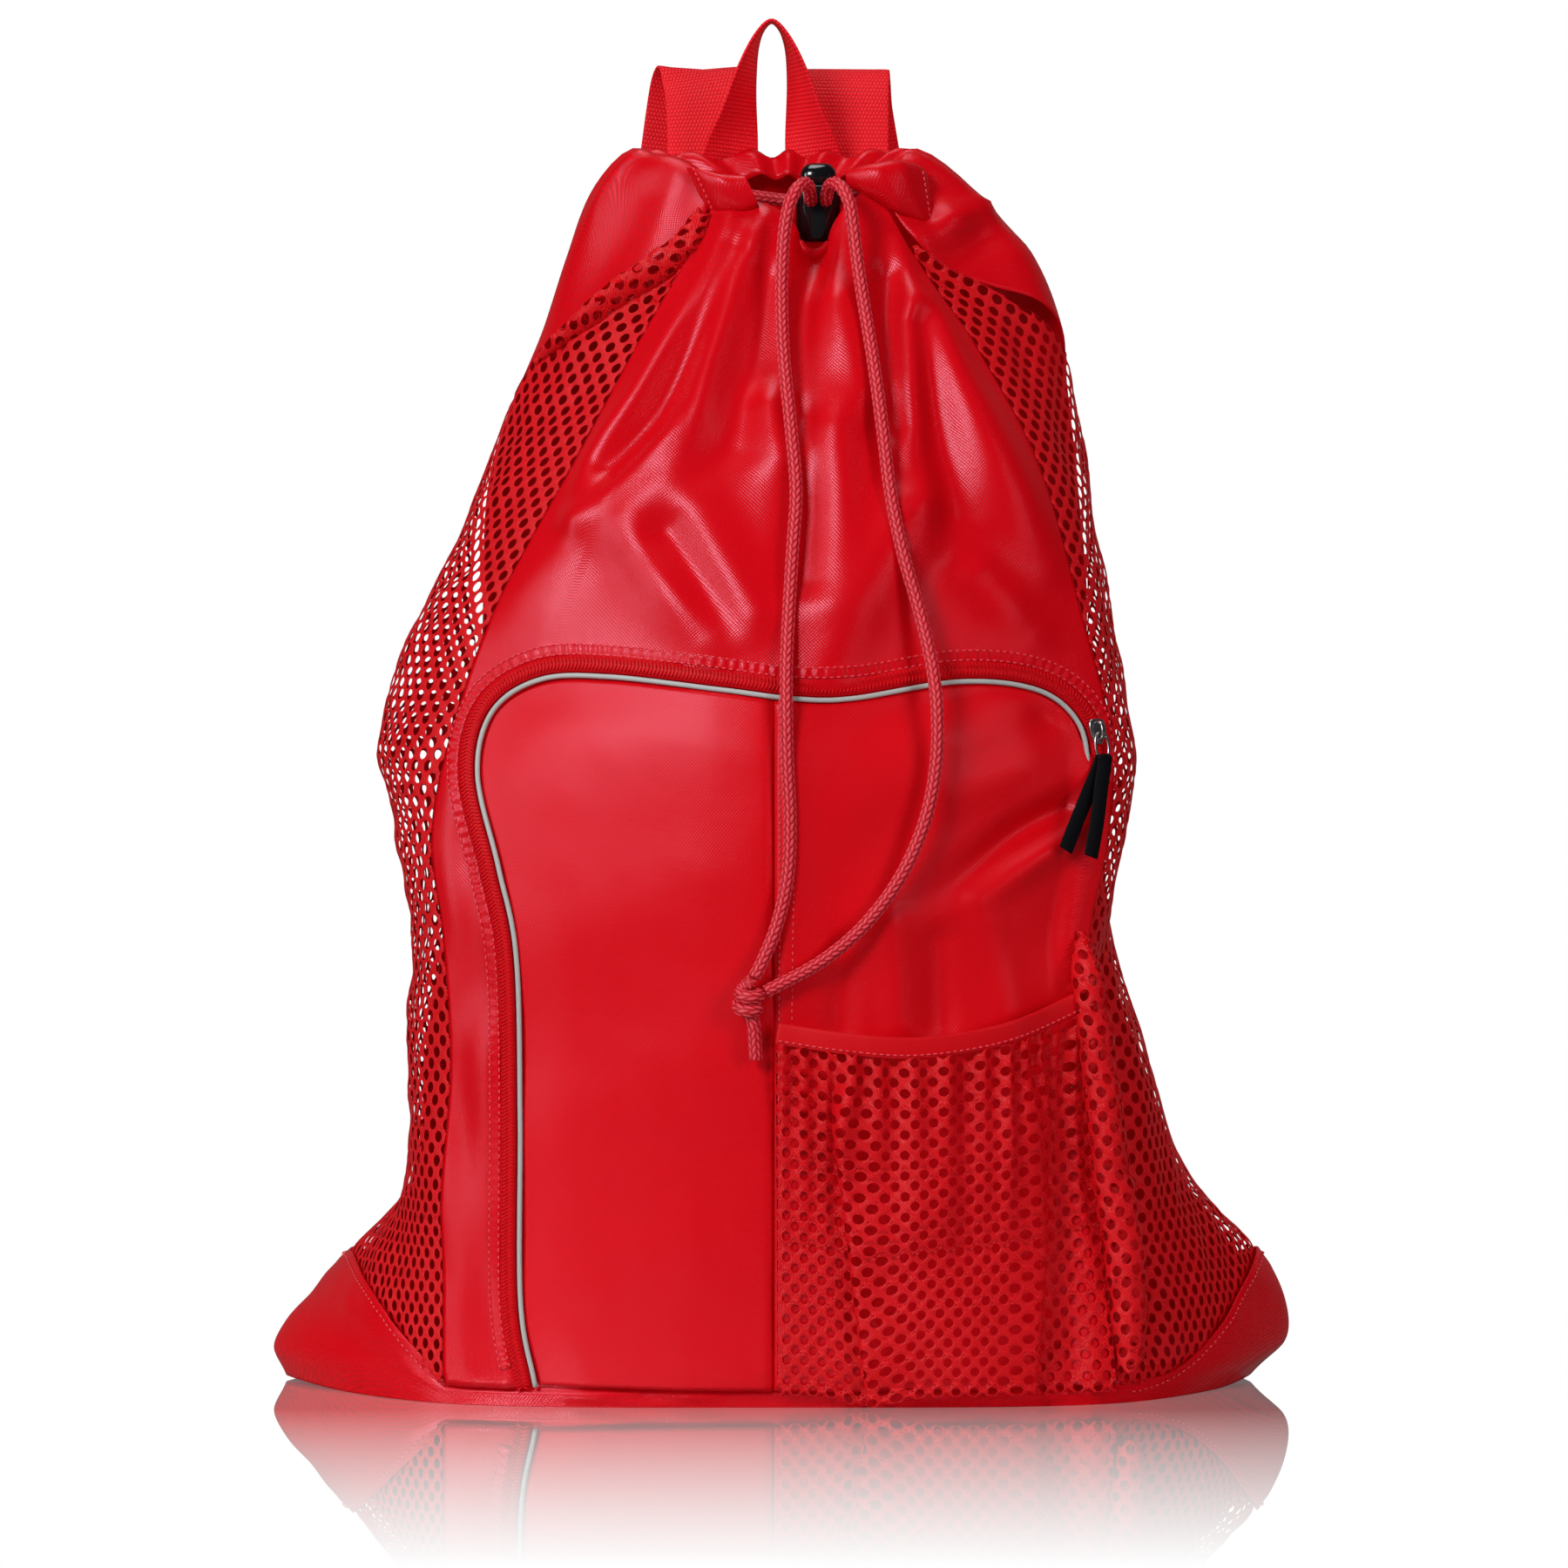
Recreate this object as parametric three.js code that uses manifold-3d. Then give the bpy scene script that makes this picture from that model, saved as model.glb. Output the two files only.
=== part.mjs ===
// A standing mesh equipment bag: a drawstring sack of solid nylon and open mesh panels, with a front zip
// pocket, a gathered mesh pocket, a webbing hang loop and two webbing shoulder straps.
// Millimetres, +Z up, the front faces -Y. The origin is under the middle of the bag's outline, on the floor.
import * as THREE from "three";
import { mergeVertices } from "three/addons/utils/BufferGeometryUtils.js";
import Module from "manifold-3d";

const wasm = await Module();
wasm.setup();

// Driving dimensions of the cloth
const CLOTH = 1.2; // wall of the solid nylon panels
const NET = 1.4; // wall of the open mesh panels
const SEAM_GAP = 0.5; // between the edges of two sewn panels
const RIM_GAP = 0.9; // between the bottom panel's edge and the panels above it
const RIM_LOW = 7; // height of the bottom panel's edge at the front and back
const RIM_EAR = 56; // height of the bottom panel's corner ears
const FLOOR_SHARE = 0.55; // where the bottom's inner ring lies, as a share of its outline
const MOUTH = 540; // last section of the body, the edge of the mouth
const SIDE_TIP = 490; // section where the mesh sides run out under the mouth
const NOTCH = { x: 14, width: 9, depth: 13, from: 470, to: 523 }; // dip in the front edge of the mouth
const CENTRE_SHIFT = { x: -0.3, y: -3 }; // from the sections' axis to the middle of the bag's box

// Driving dimensions of the trims
const PIPING_RADIUS = 1.2;
const PIPING_LIFT = 0.9;
const POCKET_INSET = 2; // pocket face's edge, inside the piping's line
// The room between the pocket's face and the front panel
const POCKET_ROOM = { depth: 10, spread: 35, low: 10, high: 70 };
// How the front panel sinks under the zip, outside the piping
const TAPE_BED = { depth: 5, from: 26, to: 11 };
const TAPE = { width: 6.6, thickness: 1.2, offset: 5.2, lift: 0 };
const BAND = { height: 9, thickness: 1.8 };
const MESH_POCKET = { left: -2.6, right: 123, low: 2.2, puff: 15, gathers: 4, gatherHeight: 1.6 };
const HANG_LOOP = { width: 25, thickness: 1.6 };
const STRAP = { width: 38, thickness: 1.8 };
const CORD_DIAMETER = 5.4;
const CORD_SIDES = 8;
const KNOT = { x: -14.4, y: -122, z: 171.5, width: 13.5, depth: 12, height: 18 };
const LOCK = {
  x: 14.5, y: -4, bottom: 484.5, width: 19, depth: 14.5, height: 24, wall: 1.6, floor: 2, round: 1.2,
};
const BUTTON = { width: 15.4, depth: 10.9, bottom: 495, top: 518, dome: 5 };
const LOCK_SLOT = { width: 12, bottom: 499.1, bodyTop: 506, buttonTop: 508.4 };
const SLIDER = { width: 8, length: 10.5, thickness: 1.4, lift: 0.9, bridge: 2.2, bridgeRise: 4.6 };
const LINK = { width: 7.6, length: 12, wire: 1.1 };
const RIBBON = { width: 5, thickness: 0.9 };

// Turns rows of numbers into records with named columns
const table = (columns, rows) =>
  rows.map((row) => Object.fromEntries(columns.map((column, i) => [column, row[i]])));

// The body's sections from the floor to the mouth: h names the section, z is its height, drop lowers its
// front, and the rest place the seams, sides and middles. Nose is how round the sides are: 1 is fully round.
const SECTIONS = table(
  ["h", "z", "drop", "frontLeft", "frontRight", "sideLeft", "sideRight", "backLeft", "backRight",
    "frontY", "frontSeamY", "sideY", "backSeamY", "backY", "nose"],
  [
    [0, 0, 0, -140, 137, -205, 198, -150, 150, -92, -78, 14, 74, 84, 0.45],
    [14, 14, 0, -142, 138, -218, 214, -150, 150, -98, -80, 14, 74, 86, 0.45],
    [32, 32, 0, -142, 137, -207, 215, -148, 148, -102, -80, 14, 72, 86, 0.5],
    [58, 58, 0, -142, 133, -184, 201, -142, 144, -106, -78, 13, 70, 86, 0.6],
    [85, 85, 0, -143, 131, -160, 175, -136, 140, -108, -76, 12, 68, 86, 0.8],
    [140, 140, 0, -139, 129, -160, 157, -130, 132, -112, -74, 12, 66, 86, 1],
    [195, 195, 0, -142, 127, -158, 140, -126, 126, -113, -72, 10, 66, 84, 1],
    [235, 235, 0, -147, 135, -163, 141, -126, 122, -112, -66, 10, 64, 80, 1],
    [275, 275, 0, -140, 137, -173, 148, -124, 120, -108, -62, 10, 62, 78, 1],
    [330, 330, 0, -121, 124, -154, 141, -116, 116, -94, -56, 8, 58, 74, 1],
    [390, 390, 0, -89, 107, -127, 130, -100, 106, -74, -46, 8, 52, 66, 1],
    [440, 440, 3, -63, 82, -106, 119, -82, 92, -54, -34, 8, 46, 57, 1],
    [480, 480, 12, -43, 58, -91, 103, -70, 78, -38, -24, 8, 40, 48, 1],
    [508, 508, 20, -31, 44, -78, 80, -58, 60, -27, -17, 8, 35, 40, 1],
    [523, 523, 26, -27, 39, -63, 56, -46, 44, -20, -13, 8, 29, 33, 1],
    [540, 513, 22, -22, 34, -46, 44, -28, 28, -13, -8, 8, 22, 25, 1],
  ],
);

// Where the mesh sides end against the back panel, in corners round the body from the front middle
const BACK_SEAMS = table(
  ["h", "left", "right"],
  [
    [0, 3, 3],
    [300, 2.85, 2.9],
    [380, 2.4, 2.5],
    [424, 2, 2.2],
    [450, 1.5, 1.75],
    [472, 1.22, 1.3],
    [490, 1.06, 1.08],
    [540, 1.03, 1.03],
  ],
);

// Folds of the front above the pocket, as ridges or, with a negative height, valleys seen from the front
const FRONT_FOLDS = table(
  ["x0", "z0", "x1", "z1", "width", "height"],
  [
    [-23, 488, -72, 392, 9, 5],
    [-7, 490, -38, 405, 8, 5],
    [14, 474, 8, 410, 9, -5],
    [48, 482, 54, 415, 7, 4.5],
    [62, 462, 92, 375, 9, 5],
    [-62, 420, -28, 470, 7, -3],
  ],
);

// Folds of the pocket's right half under the zip's end and above the mesh pocket
const POCKET_FOLDS = table(
  ["x0", "z0", "x1", "z1", "width", "height"],
  [
    [128, 250, 84, 206, 8, -7],
    [122, 222, 92, 190, 8, 4],
    [60, 200, 100, 170, 9, -3],
  ],
);

// The piping's line seen from the front, up the left side, across the top and down the right
const PIPING = table(
  ["x", "z"],
  [
    [-103, 9], [-109, 45], [-109, 120], [-110.5, 187], [-118, 224], [-127, 262], [-121, 288], [-101, 301.5],
    [-72, 303], [-25, 298], [4, 294.5], [28, 294.5], [72, 301], [104, 297.5], [121, 285], [126, 266],
    [125.5, 235], [118, 195], [118.5, 150], [121.5, 90], [126.5, 30], [127.5, 9],
  ],
);
const PIPING_CORNER_LEFT = 6; // row of the table at the pocket's top left
const PIPING_CORNER_RIGHT = 14;
const PIPING_AT_SEAM = 9.72; // where the pocket face's upright seam meets the piping
const SLIDER_PLACE = 14.42;
const POCKET_SEAM_X = -4;

// The bound edge of the mesh pocket seen from the front
const BAND_LINE = table(
  ["x", "z"],
  [[-3, 154], [24, 150], [50, 148], [78, 151], [100, 157], [114, 164]],
);

// Stations of the hang loop's middle line and how far the webbing has turned there, in degrees
const HANG_LOOP_STATIONS = table(
  ["x", "y", "z", "turn"],
  [
    [-24.1, 46.6, 494, 0], [-24, 45.4, 515, 8], [-19.5, 42, 541, 52], [-15.2, 41, 562, 74],
    [-10.5, 41, 575, 86], [-5.3, 41, 580, 90], [-0.1, 41, 575, 94], [4.7, 41, 562, 106],
    [8.7, 42, 541, 128], [13.4, 45.4, 515, 172], [13.5, 46.6, 494, 180],
  ],
);

// Stations of the shoulder straps: left and right are the shares of each one's way out to its bottom corner
const STRAP_STATIONS = table(
  ["left", "right", "y", "z"],
  [
    [0, 0, 49.8, 492], [0, 0, 50.2, 515], [0.005, 0, 55.5, 538], [0.02, 0.003, 61, 553],
    [0.05, 0.006, 69, 560], [0.085, 0.012, 77, 555], [0.115, 0.025, 82, 541], [0.2, 0.13, 90, 490],
    [0.4, 0.36, 107, 400], [0.62, 0.6, 117, 280], [0.84, 0.83, 111, 150], [0.96, 0.96, 95, 50],
    [1, 1, 84.4, 12],
  ],
);
const STRAP_ENDS = { left: { top: -31, bottom: -117 }, right: { top: 26, bottom: 117 } };

// Routes of the two strands: from the mouth's edge, through the lock, in an arch over the front edge and down
// to the knot
const STRAND_LEFT = table(
  ["x", "y", "z"],
  [
    [-43.9, 8, 513], [-34, 9.4, 510.6], [-20, 15, 506], [-5, 17, 503.5], [6, 15, 502.4], [11.1, 8, 502.1],
    [11.5, 0, 502.1], [11.4, -13, 502.1], [11.2, -18, 503.6], [10.6, -23, 507], [8.8, -28.5, 508.8],
    [5.6, -34, 506.4], [2.4, -38, 500], [0.4, -40.2, 490], [-0.6, -42.6, 478], [-1, -48, 460], [0, -59, 435],
    [3, -72, 405], [5, -81, 380], [3.5, -90, 355], [2, -98, 330],
    [1, -106, 308], [1, -111.5, 290], [1.5, -114, 268], [2.5, -115.6, 245], [1.5, -117, 222],
    [-3, -118.6, 202], [-9, -120.4, 187], [-12.3, -121.6, 180.7],
  ],
);
const STRAND_RIGHT = table(
  ["x", "y", "z"],
  [
    [41.9, 8, 513], [35.4, 9.6, 509.6], [28.5, 14.6, 505], [21.5, 13.4, 502.8], [17.8, 7, 502.1],
    [17.5, 0, 502.1], [17.6, -13, 502.1], [17.9, -18, 503.6], [18.8, -23, 507], [21, -28.5, 508.8],
    [24.4, -34, 506.4], [27.4, -38, 500], [29, -40.2, 490], [30.4, -42.6, 478], [33, -48, 460],
    [37, -59, 435], [41, -72, 405], [44, -81, 380], [49, -89, 355], [56, -95.5, 330],
    [61, -103, 308], [63, -108.6, 290], [62.5, -111.4, 268], [58, -113.4, 245], [48, -115.6, 222],
    [33, -117.6, 202], [15, -119.4, 187], [-7.5, -121.3, 174.9],
  ],
);
const TAIL = table(["x", "y", "z"], [[-12.6, -121, 162.2], [-12.2, -120.4, 158], [-11.6, -119.4, 147]]);

// The pull ribbon's two hanging ends, from the bar that it is folded over
const RIBBON_FRONT_END = table(["side", "front", "up"], [[-7, 5.5, -43], [-4.5, 4.5, -28], [-1.5, 2.6, -12]]);
const RIBBON_BACK_END = table(["side", "front", "up"], [[-5, 0.6, -14], [-10.5, 1.8, -29], [-14.4, 3, -41]]);

// Heights of the rings of points that all the body's panels share, so that sewn edges match
const LEVELS = [
  0, 45, 90, 130, 170, 205, 240, 275, 305, 335, 365, 395, 420, 445, 468, SIDE_TIP, 508, 523, 533, MOUTH,
];
const LEVELS_FROM_RIM = 90; // below this the rings follow the bottom panel's edge

// Finishes
const finish = (color, roughness, metalness = 0) =>
  new THREE.MeshStandardMaterial({ color, roughness, metalness });
const NYLON_RED = finish(0xd00a1c, 0.45);
const NET_RED = finish(0xc80a1a, 0.6);
const WEBBING_RED = finish(0xd81a30, 0.6);
const CORD_RED = finish(0xd4182c, 0.65);
const TAPE_RED = finish(0xcc0e1e, 0.6);
const PIPING_GREY = finish(0xd8d8d8, 0.35);
const BLACK_PLASTIC = finish(0x0b0b0c, 0.2);
const BLACK_RIBBON = finish(0x101012, 0.7);
const SLIDER_METAL = finish(0xb9b9bb, 0.25, 1);

// Small mathematics
const { lerp, smoothstep, clamp, degToRad } = THREE.MathUtils;
const vec = (p) => new THREE.Vector3(p.x, p.y, p.z);
const X_AXIS = new THREE.Vector3(1, 0, 0);
const Z_AXIS = new THREE.Vector3(0, 0, 1);

function hermite(a, slopeA, b, slopeB, f) {
  const [f2, f3] = [f * f, f * f * f];
  return a * (2 * f3 - 3 * f2 + 1) + slopeA * (f3 - 2 * f2 + f) + b * (3 * f2 - 2 * f3) + slopeB * (f3 - f2);
}

// One column of a table at a place along it, on a smooth curve through the rows
function along(rows, key, by, at) {
  const last = rows.length - 1;
  let i = 0;
  while (i < last - 1 && at > rows[i + 1][by]) i += 1;
  const span = rows[i + 1][by] - rows[i][by];
  const slope = (k) => {
    const [before, after] = [rows[Math.max(k - 1, 0)], rows[Math.min(k + 1, last)]];
    return ((after[key] - before[key]) / (after[by] - before[by])) * span;
  };
  const f = clamp((at - rows[i][by]) / span, 0, 1);
  return hermite(rows[i][key], slope(i), rows[i + 1][key], slope(i + 1), f);
}

// The body
// The outline at a section runs through eight corners: 0 front middle, 1 front left seam, 2 left side,
// 3 back left, 4 back middle, 5 back right, 6 right side, 7 front right seam
function outlineCorners(h) {
  const at = (key) => along(SECTIONS, key, "h", h);
  const [frontLeft, frontRight, backLeft, backRight] =
    [at("frontLeft"), at("frontRight"), at("backLeft"), at("backRight")];
  return [
    new THREE.Vector2((frontLeft + frontRight) / 2, at("frontY")),
    new THREE.Vector2(frontLeft, at("frontSeamY")),
    new THREE.Vector2(at("sideLeft"), at("sideY")),
    new THREE.Vector2(backLeft, at("backSeamY")),
    new THREE.Vector2((backLeft + backRight) / 2, at("backY")),
    new THREE.Vector2(backRight, at("backSeamY")),
    new THREE.Vector2(at("sideRight"), at("sideY")),
    new THREE.Vector2(frontRight, at("frontSeamY")),
  ];
}

// A point of the body's outer face, at a place in corners round the outline and a section
function bodyPoint(corner, h) {
  const ring = outlineCorners(h);
  const nose = along(SECTIONS, "nose", "h", h);
  const turn = ((corner % 8) + 8) % 8;
  const i = Math.floor(turn) % 8;
  const slope = (k, axis) =>
    ((ring[(k + 1) % 8][axis] - ring[(k + 7) % 8][axis]) / 2) * (k % 4 === 2 ? nose : 1);
  const next = (i + 1) % 8;
  const at = (axis) => hermite(ring[i][axis], slope(i, axis), ring[next][axis], slope(next, axis), turn - i);
  const x = at("x");
  const fromFront = Math.min(turn, 8 - turn);
  const frontShare = fromFront < 2 ? Math.cos((Math.PI / 4) * fromFront) ** 2 : 0;
  const notch = NOTCH.depth * frontShare * smoothstep(h, NOTCH.from, NOTCH.to)
    * Math.exp(-(((x - NOTCH.x) / NOTCH.width) ** 2));
  const z = along(SECTIONS, "z", "h", h) - along(SECTIONS, "drop", "h", h) * frontShare - notch;
  return new THREE.Vector3(x, at("y"), z);
}

// The outward normal of a face given by a function of the corner and the section
function normalOf(face, corner, h) {
  const [cornerStep, sectionStep] = [0.02, 1];
  const across = face(corner + cornerStep, h).sub(face(corner - cornerStep, h));
  const up = face(corner, h + sectionStep).sub(face(corner, h - sectionStep));
  return up.cross(across).normalize();
}

// How far a set of folds lifts the cloth at a place seen from the front
function foldLift(folds, x, z) {
  return folds.reduce((lift, fold) => {
    const [runX, runZ] = [fold.x1 - fold.x0, fold.z1 - fold.z0];
    const f = clamp(((x - fold.x0) * runX + (z - fold.z0) * runZ) / (runX * runX + runZ * runZ), 0, 1);
    const away = Math.hypot(x - fold.x0 - f * runX, z - fold.z0 - f * runZ);
    return lift + fold.height * Math.exp(-((away / fold.width) ** 2));
  }, 0);
}

// The height of the bottom panel's edge, low all round and raised in the two corner ears
function rimHeight(corner) {
  const fromEar = Math.min(Math.abs(corner - 2), Math.abs(corner - 6), Math.abs(corner + 2));
  return lerp(RIM_EAR, RIM_LOW, clamp(fromEar, 0, 1));
}

// The section of a ring of points at a corner
function levelHeight(corner, level) {
  const i = clamp(Math.floor(level), 0, LEVELS.length - 2);
  const h = lerp(LEVELS[i], LEVELS[i + 1], level - i);
  const rim = rimHeight(corner) + RIM_GAP;
  return h < LEVELS_FROM_RIM ? lerp(rim, LEVELS_FROM_RIM, h / LEVELS_FROM_RIM) : h;
}

// A place on the body's front, found from where it is seen
function frontAt(x, z, lift = 0) {
  let [low, high] = [-1.6, 1.6];
  for (let i = 0; i < 30; i += 1) {
    const middle = (low + high) / 2;
    if (bodyPoint(middle, z).x > x) low = middle;
    else high = middle;
  }
  const corner = (low + high) / 2;
  const normal = normalOf(bodyPoint, corner, z);
  return { point: bodyPoint(corner, z).addScaledVector(normal, lift), normal };
}

// Meshes
function geometryFrom(positions, indices) {
  const geometry = new THREE.BufferGeometry();
  geometry.setAttribute("position", new THREE.Float32BufferAttribute(positions, 3));
  geometry.setIndex(indices);
  return geometry;
}

// The same geometry with its faces pointing out
function facingOut(geometry) {
  const [position, index] = [geometry.getAttribute("position"), geometry.getIndex()];
  const corner = (i) => new THREE.Vector3().fromBufferAttribute(position, index.getX(i));
  let volume = 0;
  for (let i = 0; i < index.count; i += 3) volume += corner(i).dot(corner(i + 1).cross(corner(i + 2)));
  if (volume > 0) return geometry;
  const flipped = Array.from(index.array);
  for (let i = 0; i < flipped.length; i += 3) [flipped[i], flipped[i + 1]] = [flipped[i + 1], flipped[i]];
  geometry.setIndex(flipped);
  return geometry;
}

// A closed wall on a grid: the outer face, an inner face one thickness inside it, and the four edges
function wall(columns, rows, thickness, faceAt) {
  const positions = [];
  const indices = [];
  const count = (columns + 1) * (rows + 1);
  const inner = [];
  for (let j = 0; j <= rows; j += 1) {
    for (let i = 0; i <= columns; i += 1) {
      const { point, normal } = faceAt(i / columns, j);
      positions.push(point.x, point.y, point.z);
      inner.push(...point.clone().addScaledVector(normal, -thickness).toArray());
    }
  }
  positions.push(...inner);
  const at = (i, j, side) => side * count + j * (columns + 1) + i;
  const quad = (a, b, c, d) => indices.push(a, b, c, a, c, d);
  for (let j = 0; j < rows; j += 1) {
    for (let i = 0; i < columns; i += 1) {
      quad(at(i, j, 0), at(i + 1, j, 0), at(i + 1, j + 1, 0), at(i, j + 1, 0));
      quad(at(i, j, 1), at(i, j + 1, 1), at(i + 1, j + 1, 1), at(i + 1, j, 1));
    }
  }
  for (let i = 0; i < columns; i += 1) {
    quad(at(i, 0, 0), at(i, 0, 1), at(i + 1, 0, 1), at(i + 1, 0, 0));
    quad(at(i, rows, 0), at(i + 1, rows, 0), at(i + 1, rows, 1), at(i, rows, 1));
  }
  for (let j = 0; j < rows; j += 1) {
    quad(at(0, j, 0), at(0, j + 1, 0), at(0, j + 1, 1), at(0, j, 1));
    quad(at(columns, j, 0), at(columns, j, 1), at(columns, j + 1, 1), at(columns, j + 1, 0));
  }
  return facingOut(geometryFrom(positions, indices));
}

// A closed shell through rings of points, with a middle point at each end
function ringShell(start, rings, end) {
  const sides = rings[0].length;
  const points = [start, ...rings.flat(), end];
  const indices = [];
  const at = (ring, i) => 1 + ring * sides + (i % sides);
  const last = points.length - 1;
  for (let i = 0; i < sides; i += 1) {
    indices.push(0, at(0, i), at(0, i + 1));
    indices.push(last, at(rings.length - 1, i + 1), at(rings.length - 1, i));
    for (let ring = 0; ring < rings.length - 1; ring += 1) {
      indices.push(at(ring, i), at(ring + 1, i), at(ring + 1, i + 1));
      indices.push(at(ring, i), at(ring + 1, i + 1), at(ring, i + 1));
    }
  }
  return facingOut(geometryFrom(points.flatMap((p) => p.toArray()), indices));
}

// A flat ribbon: a rectangle carried along stations, each with its place, width direction and face normal
function ribbon(stations, width, thickness) {
  const signs = [[-1, -1], [1, -1], [1, 1], [-1, 1]];
  const positions = stations.flatMap(({ at, across, out }) =>
    signs.flatMap(([side, face]) => at.clone()
      .addScaledVector(across, (side * width) / 2)
      .addScaledVector(out, (face * thickness) / 2)
      .toArray()));
  const indices = [0, 1, 2, 0, 2, 3];
  const last = 4 * (stations.length - 1);
  indices.push(last, last + 2, last + 1, last, last + 3, last + 2);
  for (let i = 0; i < stations.length - 1; i += 1) {
    for (let k = 0; k < 4; k += 1) {
      const [a, b] = [4 * i + k, 4 * i + ((k + 1) % 4)];
      indices.push(a, a + 4, b + 4, a, b + 4, b);
    }
  }
  return facingOut(geometryFrom(positions, indices));
}

// Stations of a ribbon along a curve whose width lies as nearly as it can along a given direction
function ribbonStations(curve, steps, acrossAt) {
  return Array.from({ length: steps + 1 }, (_, i) => {
    const t = i / steps;
    const tangent = curve.getTangent(t);
    const across = acrossAt(t);
    across.addScaledVector(tangent, -across.dot(tangent)).normalize();
    return { at: curve.getPoint(t), across, out: tangent.clone().cross(across) };
  });
}

function tube(points, radius, sides, steps) {
  const section = new THREE.Shape();
  section.absarc(0, 0, radius, 0, 2 * Math.PI);
  return new THREE.ExtrudeGeometry(section, {
    extrudePath: new THREE.CatmullRomCurve3(points),
    steps,
    curveSegments: sides / 2,
  });
}

// Joins and cuts
function solidOf(geometry) {
  const bare = geometry.clone();
  bare.deleteAttribute("normal");
  bare.deleteAttribute("uv");
  const merged = mergeVertices(bare, 1e-4);
  return new wasm.Manifold(new wasm.Mesh({
    numProp: 3,
    vertProperties: new Float32Array(merged.getAttribute("position").array),
    triVerts: new Uint32Array(merged.getIndex().array),
  }));
}

function geometryOf(solid) {
  const mesh = solid.getMesh();
  return geometryFrom(Array.from(mesh.vertProperties), Array.from(mesh.triVerts));
}

// A patch filled in between four edges seen from the front, each a function of its own share from 0 to 1
function patchPoint(edges, u, v) {
  const at = (axis) => {
    const [low, high, left, right] =
      [edges.low(u)[axis], edges.high(u)[axis], edges.left(v)[axis], edges.right(v)[axis]];
    const ends = lerp(
      lerp(edges.low(0)[axis], edges.low(1)[axis], u),
      lerp(edges.high(0)[axis], edges.high(1)[axis], u),
      v,
    );
    return lerp(low, high, v) + lerp(left, right, u) - ends;
  };
  return { x: at("x"), z: at("z") };
}

// The piping's line
const pipingCurve = new THREE.CatmullRomCurve3(PIPING.map(({ x, z }) => new THREE.Vector3(x, 0, z)));

// A place beside the piping's line, at a row of its table, with the outside of the pocket as positive
function besidePiping(row, offset) {
  const t = row / (PIPING.length - 1);
  const point = pipingCurve.getPoint(t);
  const tangent = pipingCurve.getTangent(t);
  return { x: point.x - offset * tangent.z, z: point.z + offset * tangent.x };
}

const pipingOutline = Array.from({ length: 121 }, (_, i) => besidePiping((i / 120) * (PIPING.length - 1), 0));
const belowFloor = -60; // the pocket's outline is closed under the floor
pipingOutline.unshift({ x: pipingOutline[0].x, z: belowFloor });
pipingOutline.push({ x: pipingOutline.at(-1).x, z: belowFloor });

// Distance from the piping's line, positive inside the pocket
function insidePocket(x, z) {
  let inside = false;
  let nearest = Infinity;
  pipingOutline.forEach((a, i) => {
    const b = pipingOutline[(i + 1) % pipingOutline.length];
    if ((a.z > z) !== (b.z > z) && x < a.x + ((z - a.z) / (b.z - a.z)) * (b.x - a.x)) inside = !inside;
    nearest = Math.min(nearest, Math.hypot(x - a.x, z - a.z));
  });
  return inside ? nearest : -nearest;
}

// How deep the front panel lies behind the pocket: under the zip's tape, then the pocket's own room
function pocketRecess(x, z) {
  const inside = insidePocket(x, z);
  const room = POCKET_ROOM.depth * smoothstep(inside, 0, POCKET_ROOM.spread)
    * smoothstep(z, POCKET_ROOM.low, POCKET_ROOM.high);
  const dents = Math.min(0, foldLift(POCKET_FOLDS, x, z));
  return TAPE_BED.depth * smoothstep(inside, -TAPE_BED.from, -TAPE_BED.to) + room - dents;
}

// Panels of the body
function frontFace(corner, h) {
  const point = bodyPoint(corner, h);
  const lift = foldLift(FRONT_FOLDS, point.x, point.z) - pocketRecess(point.x, point.z);
  return point.addScaledVector(normalOf(bodyPoint, corner, h), lift);
}

// A panel between two seams, given in corners round the body at each section
function bodyPanel(columns, levels, thickness, face, firstSeam, lastSeam) {
  return wall(columns, levels, thickness, (u, level) => {
    // The ring's section depends on the corner only where it follows the bottom panel's edge
    let corner = lerp(firstSeam(LEVELS[level]), lastSeam(LEVELS[level]), u);
    const h = levelHeight(corner, level);
    const gap = SEAM_GAP / 2 / bodyPoint(corner + 0.5, h).distanceTo(bodyPoint(corner - 0.5, h));
    corner += lerp(gap, -gap, u);
    return { point: face(corner, h), normal: normalOf(face, corner, h) };
  });
}

const backSeam = (side, h) => along(BACK_SEAMS, side, "h", h);
const allLevels = LEVELS.length - 1;
const sideLevels = LEVELS.indexOf(SIDE_TIP);

function bottomPanel() {
  const sides = 48;
  const corners = Array.from({ length: sides }, (_, i) => (8 * i) / sides);
  const ring = (share, inset) => corners.map((corner) => {
    const h = inset + share * (rimHeight(corner) - inset);
    return bodyPoint(corner, h).addScaledVector(normalOf(bodyPoint, corner, h), -inset);
  });
  const floorRing = (share, height, inset) => corners.map((corner) => {
    const point = bodyPoint(corner, inset).addScaledVector(normalOf(bodyPoint, corner, inset), -inset);
    return new THREE.Vector3(point.x * share, point.y * share, height);
  });
  const rings = [
    floorRing(FLOOR_SHARE, 0, 0), floorRing(1, 0, 0), ring(0.35, 0), ring(0.7, 0), ring(1, 0),
    ring(1, CLOTH), ring(0.7, CLOTH), ring(0.35, CLOTH),
    floorRing(1, CLOTH, CLOTH), floorRing(FLOOR_SHARE, CLOTH, CLOTH),
  ];
  return ringShell(new THREE.Vector3(0, 0, 0), rings, new THREE.Vector3(0, 0, CLOTH));
}

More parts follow.
